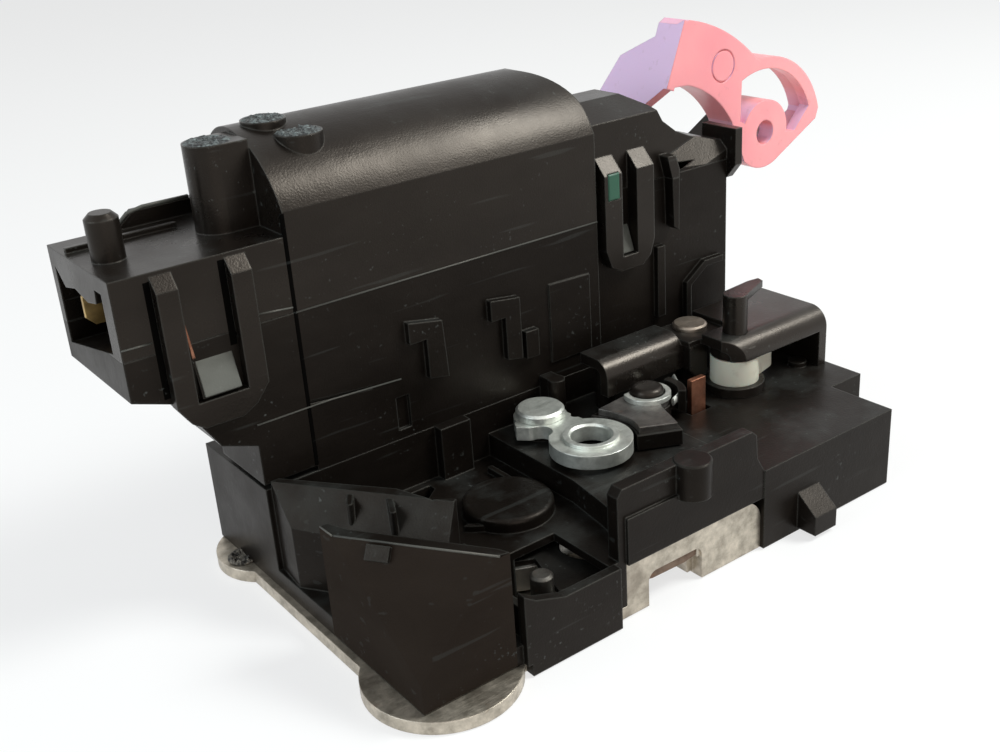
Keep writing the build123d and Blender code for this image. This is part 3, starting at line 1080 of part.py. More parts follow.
with BuildPart() as switch_bottom:
    with BuildSketch(front_plane(SWITCH_Y)):
        area(WHEEL_X - 7, WHEEL_X + 6, UNIT_Z + UNIT_WALL, UNIT_Z + UNIT_WALL + 9)
    extrude(amount=-6)
    with BuildSketch(Plane.XY.offset(UNIT_Z + UNIT_WALL + 4)):
        disc((WHEEL_X, SWITCH_Y + 2), 1 + RUN)
    extrude(amount=6, mode=Mode.SUBTRACT)

with BuildPart() as plunger_side:
    with BuildSketch(side_plane(WHEEL_X + CAM_LOBE_R + 0.3)):
        disc((SWITCH_Y + 2, WHEEL_Z), 1)
    extrude(amount=4.6)

with BuildPart() as plunger_bottom:
    with BuildSketch(Plane.XY.offset(WHEEL_Z - CAM_LOBE_R - 0.3)):
        disc((WHEEL_X, SWITCH_Y + 2), 1)
    extrude(amount=-6.6)

# ================================================================ bell crank
def crank_outline():
    """Outline of the bell crank's web, in the sketch that is being drawn."""
    with BuildLine() as rim:
        Polyline((130.6, 67.3), (135.2, 56.6))
        ThreePointArc((135.2, 56.6), (140.8, 53.9), (147.3, 55.3))
        Polyline((147.3, 55.3), (161.4, 62.7), (162.3, 65.3))
        ThreePointArc((162.3, 65.3), (153, 77.9), (139.2, 80.9))
        ThreePointArc((139.2, 80.9), (129.3, 88.4), (116.2, 93.3))
        Polyline((116.2, 93.3), (114.4, 92.4), (109, 78.9), (115.7, 78.6))
        ThreePointArc((115.7, 78.6), (124.6, 74.1), (130.6, 67.3))
    make_face(rim.edges())


def crank_window(mode=Mode.SUBTRACT):
    """D-shaped window round the boss, in the sketch that is being drawn."""
    with BuildLine() as edge:
        ThreePointArc((133.9, 76.6), (147, 77.4), (158.6, 66.4))
        Polyline((158.6, 66.4), (153.4, 61), CRANK_PIVOT, (133.6, 66.8), (133.9, 76.6))
    make_face(edge.edges(), mode=mode)


with BuildPart() as crank:
    with BuildSketch(front_plane(CRANK_Y)):
        crank_outline()
        crank_window()
    extrude(amount=-CRANK_T)
    with BuildSketch(front_plane(CRANK_Y + CRANK_T)):
        crank_outline()
        offset(amount=-2, mode=Mode.SUBTRACT)
    extrude(amount=-CRANK_RIB)
    # deep flange down the left end
    with BuildSketch(Plane(origin=(109, CRANK_Y, 78.9), x_dir=(0, 1, 0),
                           z_dir=(0.929, 0, -0.369))):
        shape((0, 0), (0, 15.7), (18, 6), (23, -4.9), (8, -6.3), (1, 0))
    extrude(amount=2.4)
    with BuildSketch(front_plane(CRANK_Y)):
        disc(CRANK_PIVOT, CRANK_BOSS_R)
    extrude(amount=-CRANK_TUBE)
    with BuildSketch(front_plane(CRANK_Y)):
        disc(CRANK_PIVOT, CRANK_BORE_R)
    extrude(amount=-CRANK_TUBE, mode=Mode.SUBTRACT)
    with BuildSketch(front_plane(CRANK_Y)):
        disc((127.4, 81.2), 3.9)
        disc((127.4, 81.2), 3.5, mode=Mode.SUBTRACT)
    extrude(amount=-0.4, mode=Mode.SUBTRACT)

with BuildPart() as crank_stud:
    with BuildSketch(front_plane(CRANK_Y + 4)):
        disc(CRANK_PIVOT, CRANK_BORE_R - RUN)
    extrude(amount=-(CRANK_TUBE - 4 + 0.8))
    with BuildSketch(front_plane(CRANK_Y + 9.8)):
        disc(CRANK_PIVOT, 2)
    extrude(amount=-3.6)
    chamfer(crank_stud.edges().group_by(Axis.Y)[0], 0.5)

# ================================================================ pieces
write(face_plate.part, "face_plate")
write(claw.part, "claw")
write(claw_skin.part, "claw_skin")
write(claw_pivot.part, "claw_pivot")
write(claw_spring.part, "claw_spring")
write(pawl.part, "pawl")
write(pawl_skin.part, "pawl_skin")
write(pawl_pivot.part, "pawl_pivot")
write(pawl_cap.part, "pawl_cap")
write(pawl_spring.part, "pawl_spring")
write(stop_pin.part, "stop_pin")
write(latch_housing.part, "latch_housing")
write(release_lever.part, "release_lever")
write(release_pin.part, "release_pin")
write(lock_carrier.part, "lock_carrier")
write(lock_plate.part, "lock_plate")
write(lock_collar.part, "lock_collar")
write(cam_shaft.part, "cam_shaft")
write(cam_block.part, "cam_block")
write(arm_bracket.part, "arm_bracket")
write(arm_rivet.part, "arm_rivet")
write(drive_case.part, "drive_case")
write(drive_cover.part, "drive_cover")
write(blade_front.part, "blade_front")
write(blade_rear.part, "blade_rear")
write(snap_insert.part, "snap_insert")
write(motor.part, "motor")
write(motor_cap.part, "motor_cap")
write(motor_shaft.part, "motor_shaft")
write(worm.part, "worm")
write(worm_wheel.part, "worm_wheel")
write(drive_cam.part, "drive_cam")
write(wheel_spindle.part, "wheel_spindle")
write(switch_side.part, "switch_side")
write(switch_bottom.part, "switch_bottom")
write(plunger_side.part, "plunger_side")
write(plunger_bottom.part, "plunger_bottom")
write(crank.part, "crank")
write(crank_stud.part, "crank_stud")
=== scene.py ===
"""Looks of a door latch actuator: finishes for every solid, fine fittings, studio and camera."""

import json
import logging
import math
from dataclasses import dataclass, field
from enum import Enum
from typing import ClassVar, Protocol

import bmesh
import bpy
from mathutils import Matrix, Vector, noise


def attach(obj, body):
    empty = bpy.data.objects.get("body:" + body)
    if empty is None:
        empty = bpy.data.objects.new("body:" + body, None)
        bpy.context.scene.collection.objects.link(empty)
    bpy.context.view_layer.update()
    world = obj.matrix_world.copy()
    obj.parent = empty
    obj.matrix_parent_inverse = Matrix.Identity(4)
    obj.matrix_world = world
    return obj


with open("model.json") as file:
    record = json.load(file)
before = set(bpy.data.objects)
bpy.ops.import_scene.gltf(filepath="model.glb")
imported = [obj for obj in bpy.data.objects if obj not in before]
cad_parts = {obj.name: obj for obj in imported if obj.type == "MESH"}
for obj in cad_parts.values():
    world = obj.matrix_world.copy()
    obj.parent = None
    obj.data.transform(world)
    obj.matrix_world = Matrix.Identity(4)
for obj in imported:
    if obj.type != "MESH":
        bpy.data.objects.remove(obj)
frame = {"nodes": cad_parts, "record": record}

LOG = logging.getLogger("door_latch")
MM = 0.001                  # millimetres in metres
Point = tuple[float, float, float]
Colour = tuple[float, float, float]
Outline = tuple[tuple[float, float], ...]
Path = tuple[Point, ...]
Socket = bpy.types.NodeSocket


class Body(Enum):
    """Bodies of the latch that fittings ride on."""

    LATCH = "latch"
    LOCK = "locking_lever"


class Axis(Enum):
    """Axes that a prism can run along."""

    X = "X"
    Y = "Y"
    Z = "Z"


class Finish(Protocol):
    """Anything that can make a material."""

    def build(self) -> bpy.types.Material:
        """Makes the material.

        Returns:
            The new material.
        """


class Graph:
    """A material's node tree, with short ways to add and join nodes."""

    BEVEL_SAMPLES: ClassVar[int] = 4

    def __init__(self, name: str) -> None:
        """Starts an empty tree with a surface shader on its output.

        Args:
            name: the material's name.
        """
        self.material = bpy.data.materials.new(name)
        self.material.use_nodes = True
        self.tree = self.material.node_tree
        self.tree.nodes.clear()
        self.output = self.node("ShaderNodeOutputMaterial")
        self.shader = self.node("ShaderNodeBsdfPrincipled")
        self.tree.links.new(self.shader.outputs[0], self.output.inputs["Surface"])
        self.place = self.node("ShaderNodeTexCoord").outputs["Object"]

    def node(self, kind: str, **settings: object) -> bpy.types.Node:
        """Adds a node and sets its properties.

        Args:
            kind: the node's type name.
            settings: properties of the node.

        Returns:
            The new node.
        """
        new = self.tree.nodes.new(kind)
        for key, value in settings.items():
            setattr(new, key, value)
        return new

    def join(self, source: Socket, target: Socket) -> None:
        """Links one socket to another.

        Args:
            source: the output.
            target: the input.
        """
        self.tree.links.new(source, target)

    def noise(self, scale: float, detail: float = 3.0, rough: float = 0.55,
              stretch: Point = (1.0, 1.0, 1.0)) -> Socket:
        """Adds a noise pattern in the piece's own metres.

        Args:
            scale: waves per metre.
            detail: octaves.
            rough: strength of the finer octaves.
            stretch: factors along X, Y and Z.

        Returns:
            The pattern's value socket.
        """
        mapping = self.node("ShaderNodeMapping")
        mapping.inputs["Scale"].default_value = stretch
        self.join(self.place, mapping.inputs["Vector"])
        pattern = self.node("ShaderNodeTexNoise")
        pattern.inputs["Scale"].default_value = scale
        pattern.inputs["Detail"].default_value = detail
        pattern.inputs["Roughness"].default_value = rough
        self.join(mapping.outputs[0], pattern.inputs["Vector"])
        return pattern.outputs[0]

    def remap(self, value: Socket, low: float, high: float,
              to_low: float = 0.0, to_high: float = 1.0) -> Socket:
        """Maps a value from one range to another, clamped.

        Args:
            value: the incoming value.
            low: value that gives to_low.
            high: value that gives to_high.
            to_low: result at low.
            to_high: result at high.

        Returns:
            The mapped value.
        """
        ramp = self.node("ShaderNodeMapRange")
        self.join(value, ramp.inputs["Value"])
        for key, number in (("From Min", low), ("From Max", high),
                            ("To Min", to_low), ("To Max", to_high)):
            ramp.inputs[key].default_value = number
        return ramp.outputs["Result"]

    def times(self, one: Socket, other: Socket | float) -> Socket:
        """Multiplies a value by another value or by a number.

        Args:
            one: the first factor.
            other: a socket or a plain number.

        Returns:
            The product.
        """
        product = self.node("ShaderNodeMath", operation="MULTIPLY")
        self.join(one, product.inputs[0])
        if isinstance(other, (int, float)):
            product.inputs[1].default_value = other
        else:
            self.join(other, product.inputs[1])
        return product.outputs[0]

    def blend(self, factor: Socket, below: Socket | Colour,
              above: Socket | Colour) -> Socket:
        """Mixes two colours by a factor.

        Args:
            factor: 0 shows below, 1 shows above.
            below: a colour or a colour socket.
            above: a colour or a colour socket.

        Returns:
            The mixed colour.
        """
        mix = self.node("ShaderNodeMix", data_type="RGBA")
        self.join(factor, mix.inputs["Factor"])
        for socket, side in ((mix.inputs[6], below), (mix.inputs[7], above)):
            if isinstance(side, tuple):
                socket.default_value = (*side, 1.0)
            else:
                self.join(side, socket)
        return mix.outputs[2]

    def facing(self, direction: Point, low: float, high: float) -> Socket:
        """Mask of the faces that look along a fixed direction of the object.

        Args:
            direction: unit direction in the object's frame.
            low: cosine at which the mask starts.
            high: cosine at which it is full.

        Returns:
            The mask's value.
        """
        normal = self.node("ShaderNodeTexCoord").outputs["Normal"]
        dot = self.node("ShaderNodeVectorMath", operation="DOT_PRODUCT")
        dot.inputs[1].default_value = direction
        self.join(normal, dot.inputs[0])
        return self.remap(dot.outputs["Value"], low, high)

    def edge(self, radius: float, gain: float) -> Socket:
        """Mask of the sharp edges, where handling wears the surface and where edges take a painted
        highlight.

        Args:
            radius: reach of the mask in metres.
            gain: how fast it fills.

        Returns:
            The mask's value.
        """
        soft = self.node("ShaderNodeBevel", samples=self.BEVEL_SAMPLES)
        soft.inputs["Radius"].default_value = radius
        true = self.node("ShaderNodeNewGeometry").outputs["Normal"]
        dot = self.node("ShaderNodeVectorMath", operation="DOT_PRODUCT")
        self.join(soft.outputs[0], dot.inputs[0])
        self.join(true, dot.inputs[1])
        return self.remap(dot.outputs["Value"], 1.0, 1.0 - 1.0 / gain)

    def relief(self, parts: list[tuple[Socket, float]], radius: float) -> None:
        """Gives the shader soft edges and a fine relief.

        Args:
            parts: height patterns with their heights in metres.
            radius: rounding of the edges in metres.
        """
        soft = self.node("ShaderNodeBevel", samples=self.BEVEL_SAMPLES)
        soft.inputs["Radius"].default_value = radius
        normal = soft.outputs[0]
        for value, height in parts:
            bump = self.node("ShaderNodeBump")
            bump.inputs["Strength"].default_value = 1.0
            bump.inputs["Distance"].default_value = height
            self.join(value, bump.inputs["Height"])
            self.join(normal, bump.inputs["Normal"])
            normal = bump.outputs[0]
        self.join(normal, self.shader.inputs["Normal"])

    def number(self, socket: str, value: float) -> None:
        """Sets a plain number on the shader.

        Args:
            socket: the shader input's name.
            value: its constant.
        """
        self.shader.inputs[socket].default_value = value

    def colour(self, value: Socket) -> None:
        """Feeds the shader's colour.

        Args:
            value: the colour.
        """
        self.join(value, self.shader.inputs["Base Color"])

    def rough(self, value: Socket) -> None:
        """Feeds the shader's roughness.

        Args:
            value: the roughness.
        """
        self.join(value, self.shader.inputs["Roughness"])


@dataclass(frozen=True)
class BlackMoulding:
    """Satin black glass-filled plastic with flow marks, dust, and edges lightened by wear and by a
    painted highlight.
    """

    name: str
    base: Colour = (0.0040, 0.0030, 0.0024)
    haze: Colour = (0.0085, 0.0068, 0.0056)
    dust: Colour = (0.090, 0.098, 0.094)
    dusty: float = 0.20
    smooth: float = 0.28
    dull: float = 0.46
    edge_wear_and_highlight: float = 0.30
    gloss: float = 0.13
    FLOW: ClassVar[float] = 38           # waves per metre, like the scales below
    SPECK: ClassVar[float] = 950
    PATCH: ClassVar[float] = 70
    SCRATCH: ClassVar[float] = 420
    SHEEN: ClassVar[float] = 55
    GRAIN: ClassVar[float] = 2600
    RIPPLE: ClassVar[float] = 120
    ALONG_FLOW: ClassVar[Point] = (1.0, 1.0, 2.2)
    ALONG_SCRATCH: ClassVar[Point] = (0.08, 1.0, 1.6)
    SPECK_SHARE: ClassVar[float] = 0.7
    SCRATCH_SHARE: ClassVar[float] = 0.12
    # grey of the edges: wear from handling and painted edge highlight
    EDGE_WEAR_AND_HIGHLIGHT: ClassVar[Colour] = (0.12, 0.125, 0.115)
    # warm tint on the reflections, standing in for the warm light on the front faces: painted warm
    # reflection
    PAINTED_WARM_REFLECTION: ClassVar[tuple[float, ...]] = (1.0, 0.86, 0.74, 1.0)

    def build(self) -> bpy.types.Material:
        """Makes the material.

        Returns:
            The new material.
        """
        g = Graph(self.name)
        flow = g.remap(g.noise(self.FLOW, 4, 0.6, self.ALONG_FLOW), 0.35, 0.7)
        body = g.blend(flow, self.base, self.haze)
        specks = g.remap(g.noise(self.SPECK, 2, 0.5), 0.66, 0.74)
        patches = g.remap(g.noise(self.PATCH, 4, 0.6), 0.48, 0.68)
        lying = g.times(g.facing((0, 0, 1), 0.3, 0.95), g.times(patches, self.dusty))
        body = g.blend(lying, body, self.dust)
        body = g.blend(g.times(g.times(specks, patches), self.SPECK_SHARE), body, self.dust)
        scratch = g.remap(g.noise(self.SCRATCH, 2, 0.4, self.ALONG_SCRATCH), 0.68, 0.72)
        body = g.blend(g.times(scratch, self.SCRATCH_SHARE), body, self.dust)
        # pale edges: wear from handling, and a painted edge highlight
        body = g.blend(g.times(g.edge(0.5 * MM, 5), self.edge_wear_and_highlight), body, self.EDGE_WEAR_AND_HIGHLIGHT)
        g.colour(body)
        g.rough(g.remap(g.noise(self.SHEEN, 5, 0.65), 0.3, 0.7, self.smooth, self.dull))
        g.number("Specular IOR Level", self.gloss)
        g.shader.inputs["Specular Tint"].default_value = self.PAINTED_WARM_REFLECTION
        g.relief([(g.noise(self.GRAIN, 2, 0.5), 0.03 * MM),
                  (g.noise(self.RIPPLE, 3, 0.5), 0.08 * MM)], 0.4 * MM)
        return g.material


@dataclass(frozen=True)
class PlatedSteel:
    """Zinc plated steel sheet: spangled, finely scratched, tarnished in patches."""

    name: str
    base: Colour = (0.55, 0.555, 0.52)
    bloom: Colour = (0.33, 0.335, 0.31)
    stain: Colour = (0.16, 0.13, 0.10)
    stained: float = 0.45
    rust: Colour = (0.22, 0.09, 0.04)
    rusted: float = 0.3
    smooth: float = 0.28
    dull: float = 0.52
    metal: float = 0.9
    along: Point = (1.0, 9.0, 9.0)
    CELL: ClassVar[float] = 330          # waves per metre, like the scales below
    GRIME: ClassVar[float] = 75
    SPOT: ClassVar[float] = 210
    BRUSH: ClassVar[float] = 260
    LINE: ClassVar[float] = 700

    def build(self) -> bpy.types.Material:
        """Makes the material.

        Returns:
            The new material.
        """
        g = Graph(self.name)
        cells = g.remap(g.noise(self.CELL, 4, 0.65), 0.35, 0.68)
        body = g.blend(cells, self.base, self.bloom)
        grime = g.remap(g.noise(self.GRIME, 5, 0.65), 0.5, 0.72)
        body = g.blend(g.times(grime, self.stained), body, self.stain)
        spots = g.remap(g.noise(self.SPOT, 4, 0.7), 0.64, 0.72)
        body = g.blend(g.times(spots, self.rusted), body, self.rust)
        g.colour(body)
        g.number("Metallic", self.metal)
        g.rough(g.remap(g.noise(self.BRUSH, 5, 0.7, self.along), 0.3, 0.7, self.smooth, self.dull))
        g.relief([(g.noise(self.LINE, 3, 0.6, self.along), 0.03 * MM), (cells, 0.02 * MM)],
                 0.3 * MM)
        return g.material


@dataclass(frozen=True)
class GlossMoulding:
    """Coloured plastic with a soft gloss, faint flow lines, handling dirt, and a painted lighter
    colour on the faces turned up and to the left.
    """

    name: str
    base: Colour = (0.92, 0.36, 0.37)
    shade: Colour = (0.80, 0.27, 0.30)
    # colour of the faces turned up and to the left: painted light from the left
    side: Colour = (0.90, 0.64, 0.90)
    dirt: Colour = (0.30, 0.14, 0.12)
    dirty: float = 0.25
    smooth: float = 0.28
    FLOW: ClassVar[float] = 45           # waves per metre, like the scales below
    MARK: ClassVar[float] = 260
    SHEEN: ClassVar[float] = 90
    GRAIN: ClassVar[float] = 1500
    LIT_SIDE_DIRECTION: ClassVar[Point] = (-0.93, 0.0, 0.37)

    def build(self) -> bpy.types.Material:
        """Makes the material.

        Returns:
            The new material.
        """
        g = Graph(self.name)
        body = g.blend(g.remap(g.noise(self.FLOW, 3, 0.5), 0.3, 0.75), self.base, self.shade)
        # faces turned up and to the left take the lighter colour: painted light
        body = g.blend(g.facing(self.LIT_SIDE_DIRECTION, 0.55, 0.95), body, self.side)
        marks = g.remap(g.noise(self.MARK, 4, 0.65), 0.62, 0.72)
        body = g.blend(g.times(marks, self.dirty), body, self.dirt)
        g.colour(body)
        g.rough(g.remap(g.noise(self.SHEEN, 4, 0.6), 0.3, 0.7, self.smooth, self.smooth + 0.18))
        g.number("Specular IOR Level", 0.5)
        g.number("Subsurface Weight", 0.06)
        g.number("Subsurface Scale", 0.002)
        g.relief([(g.noise(self.GRAIN, 2, 0.5), 0.02 * MM)], 0.5 * MM)
        return g.material


@dataclass(frozen=True)
class Nylon:
    """Uncoloured nylon, waxy, with grease in its hollows."""

    name: str
    base: Colour = (0.62, 0.60, 0.50)
    grease: Colour = (0.26, 0.23, 0.17)
    SMEAR: ClassVar[float] = 180         # waves per metre, like the scales below
    SHEEN: ClassVar[float] = 120
    GRAIN: ClassVar[float] = 1200

    def build(self) -> bpy.types.Material:
        """Makes the material.

        Returns:
            The new material.
        """
        g = Graph(self.name)
        g.colour(g.blend(g.times(g.remap(g.noise(self.SMEAR, 4, 0.6), 0.5, 0.7), 0.6),
                         self.base, self.grease))
        g.rough(g.remap(g.noise(self.SHEEN, 3, 0.6), 0.3, 0.7, 0.35, 0.55))
        g.number("Subsurface Weight", 0.15)
        g.number("Subsurface Scale", 0.003)
        g.relief([(g.noise(self.GRAIN, 2, 0.5), 0.02 * MM)], 0.4 * MM)
        return g.material


@dataclass(frozen=True)
class Crumbling:
    """Broken-off moulding stubs: pale granular plastic with dark hollows."""

    name: str
    low: Colour = (0.010, 0.011, 0.011)
    high: Colour = (0.22, 0.25, 0.25)
    grain: float = 900.0

    def build(self) -> bpy.types.Material:
        """Makes the material.

        Returns:
            The new material.
        """
        g = Graph(self.name)
        grit = g.remap(g.noise(self.grain, 4, 0.7), 0.44, 0.66)
        g.colour(g.blend(grit, self.low, self.high))
        g.rough(g.remap(g.noise(self.grain, 2, 0.6), 0.3, 0.7, 0.35, 0.7))
        g.number("Specular IOR Level", 0.3)
        g.relief([(grit, 0.25 * MM)], 0.2 * MM)
        return g.material


@dataclass
class Finishes:
    """Every finish: by slot for the solids, by name for the fittings."""

    worn: dict[str, Finish] = field(default_factory=lambda: {
        "black_moulding": BlackMoulding("latch_black"),
        "black_case": BlackMoulding("case_black", dusty=0.15),
        "black_cover": BlackMoulding("cover_black", dusty=0.10, smooth=0.24, dull=0.38,
                                     gloss=0.24),
        "black_bracket": BlackMoulding("bracket_black", smooth=0.24, dull=0.36, dusty=0.15,
                                       gloss=0.36),
        "black_cap": BlackMoulding("cap_black", smooth=0.22, dull=0.4, dusty=0.15, gloss=0.3),
        "black_skin": BlackMoulding("skin_black", dusty=0.1),
        "zinc_plate": PlatedSteel("plate_zinc", base=(0.60, 0.54, 0.45), bloom=(0.30, 0.27, 0.22),
                                  stained=0.7, metal=0.85),
        "lever_steel": PlatedSteel("lever_zinc", base=(0.74, 0.76, 0.71),
                                   bloom=(0.50, 0.52, 0.48), stained=0.3, metal=0.8),
        "pin_steel": PlatedSteel("pin_bright", base=(0.5, 0.5, 0.48), rusted=0.2),
        "spring_steel": PlatedSteel("spring_wire", base=(0.4, 0.4, 0.39)),
        "grey_plate": PlatedSteel("plate_phosphated", base=(0.20, 0.19, 0.18),
                                  bloom=(0.10, 0.095, 0.09), rusted=0.4),
        "dull_rivet": PlatedSteel("rivet_dull", base=(0.36, 0.31, 0.26),
                                  bloom=(0.22, 0.18, 0.14), rusted=0.7),
        "claw_steel": PlatedSteel("claw_steel", base=(0.42, 0.40, 0.37), rusted=0.5),
        "copper_plated": PlatedSteel("tab_copper", base=(0.34, 0.15, 0.09),
                                     bloom=(0.18, 0.07, 0.04), rusted=0.7, stained=0.5),
        "brass_blade": PlatedSteel("blade_brass", base=(0.62, 0.44, 0.18),
                                   bloom=(0.40, 0.27, 0.10), rusted=0.1),
        "brass_worm": PlatedSteel("worm_brass", base=(0.66, 0.48, 0.2),
                                  bloom=(0.5, 0.35, 0.14), rusted=0.0),
        # its side colour is painted light on the faces turned up and to the left
        "green_plastic": GlossMoulding("insert_green", base=(0.004, 0.085, 0.040),
                                       shade=(0.003, 0.055, 0.028), side=(0.005, 0.10, 0.05),
                                       dirt=(0.01, 0.02, 0.015)),
        "motor_can": PlatedSteel("motor_can", base=(0.55, 0.55, 0.55), rusted=0.05),
        "white_plastic": Nylon("plastic_white", base=(0.72, 0.71, 0.66)),
        "natural_nylon": Nylon("nylon_natural"),
        "pink_plastic": GlossMoulding("crank_pink"),
    })
    fitted: dict[str, Finish] = field(default_factory=lambda: {
        # lighter warm brown for the corner block's facet: painted warm light from the front on the
        # black moulding
        "corner_warm_lit": BlackMoulding("corner_painted_warm_light", base=(0.0095, 0.0062, 0.0044),
                                haze=(0.0150, 0.0105, 0.0078), edge_wear_and_highlight=0.0, dusty=0.05,
                                smooth=0.34, dull=0.5),
        # pale grey for the snap ramps and the rear rim: painted reflection of the bright
        # surroundings, with scuffing
        "sheen_and_scuff": BlackMoulding("ramp_sheen_and_scuff", base=(0.060, 0.063, 0.056),
                                 haze=(0.11, 0.115, 0.105), dust=(0.24, 0.25, 0.23),
                                 smooth=0.3, dull=0.45, gloss=0.3),
        # pale grey for the raised seam lines and the corner rims: painted highlight where light
        # catches them
        "line_highlight": BlackMoulding("line_highlight_grey", base=(0.040, 0.041, 0.037),
                               haze=(0.10, 0.10, 0.09), smooth=0.3, dull=0.5, gloss=0.3),
        # near-black for strips that stand in for the shade in the grooves beside the barrel and
        # the snap legs: painted shadow
        "painted_shadow": BlackMoulding("painted_shadow_black", base=(0.0008, 0.0008, 0.0008),
                             haze=(0.0015, 0.0014, 0.0013), dusty=0.0, edge_wear_and_highlight=0.0,
                             smooth=0.8, dull=0.95, gloss=0.03),
        "crumbs": Crumbling("stub_crumbs"),
        "dirt": Crumbling("thread_dirt", low=(0.012, 0.010, 0.008), high=(0.34, 0.30, 0.25),
                          grain=700.0),
        "rusted": PlatedSteel("mouth_rust", base=(0.20, 0.14, 0.10), bloom=(0.10, 0.055, 0.035),
                              rusted=1.0, smooth=0.5, dull=0.75, metal=0.4),
        # dark steel for the stop pin in its well: painted shade of the dark well
        "darkened_pin": PlatedSteel("pin_painted_shade", base=(0.10, 0.095, 0.085), bloom=(0.05, 0.045, 0.04),
                             rusted=0.5, smooth=0.4, dull=0.6),
    })
    renamed: dict[str, str] = field(default_factory=lambda: {"stop_pin": "darkened_pin"})

    def dress(self) -> dict[str, bpy.types.Material]:
        """Gives every solid its finish.

        Returns:
            The materials, by slot for the solids and by name for the fittings.
        """
        made = {key: finish.build() for key, finish in {**self.worn, **self.fitted}.items()}
        for part in frame["record"]["subparts"]:
            shell = frame["nodes"][part["node"]]
            finish = self.renamed.get(part["node"], part["material_slot"])
            for place in shell.material_slots:
                place.material = made[finish]
            LOG.info("dressed %s", part["node"])
        return made


def mesh_from(name: str, form: bmesh.types.BMesh) -> bpy.types.Mesh:
    """Writes an edited form out as a mesh and frees the form.

    Args:
        name: the mesh's name.
        form: the form.

    Returns:
        The mesh.
    """
    mesh = bpy.data.meshes.new(name)
    form.to_mesh(mesh)
    form.free()
    return mesh


def bridge(form: bmesh.types.BMesh, one: list[bmesh.types.BMVert],
           other: list[bmesh.types.BMVert]) -> None:
    """Joins two closed rings of points with a band of four-sided faces.

    Args:
        form: the form to add to.
        one: the first ring.
        other: the second ring, with as many points.
    """
    count = len(one)
    for k in range(count):
        n = (k + 1) % count
        form.faces.new((one[k], one[n], other[n], other[k]))


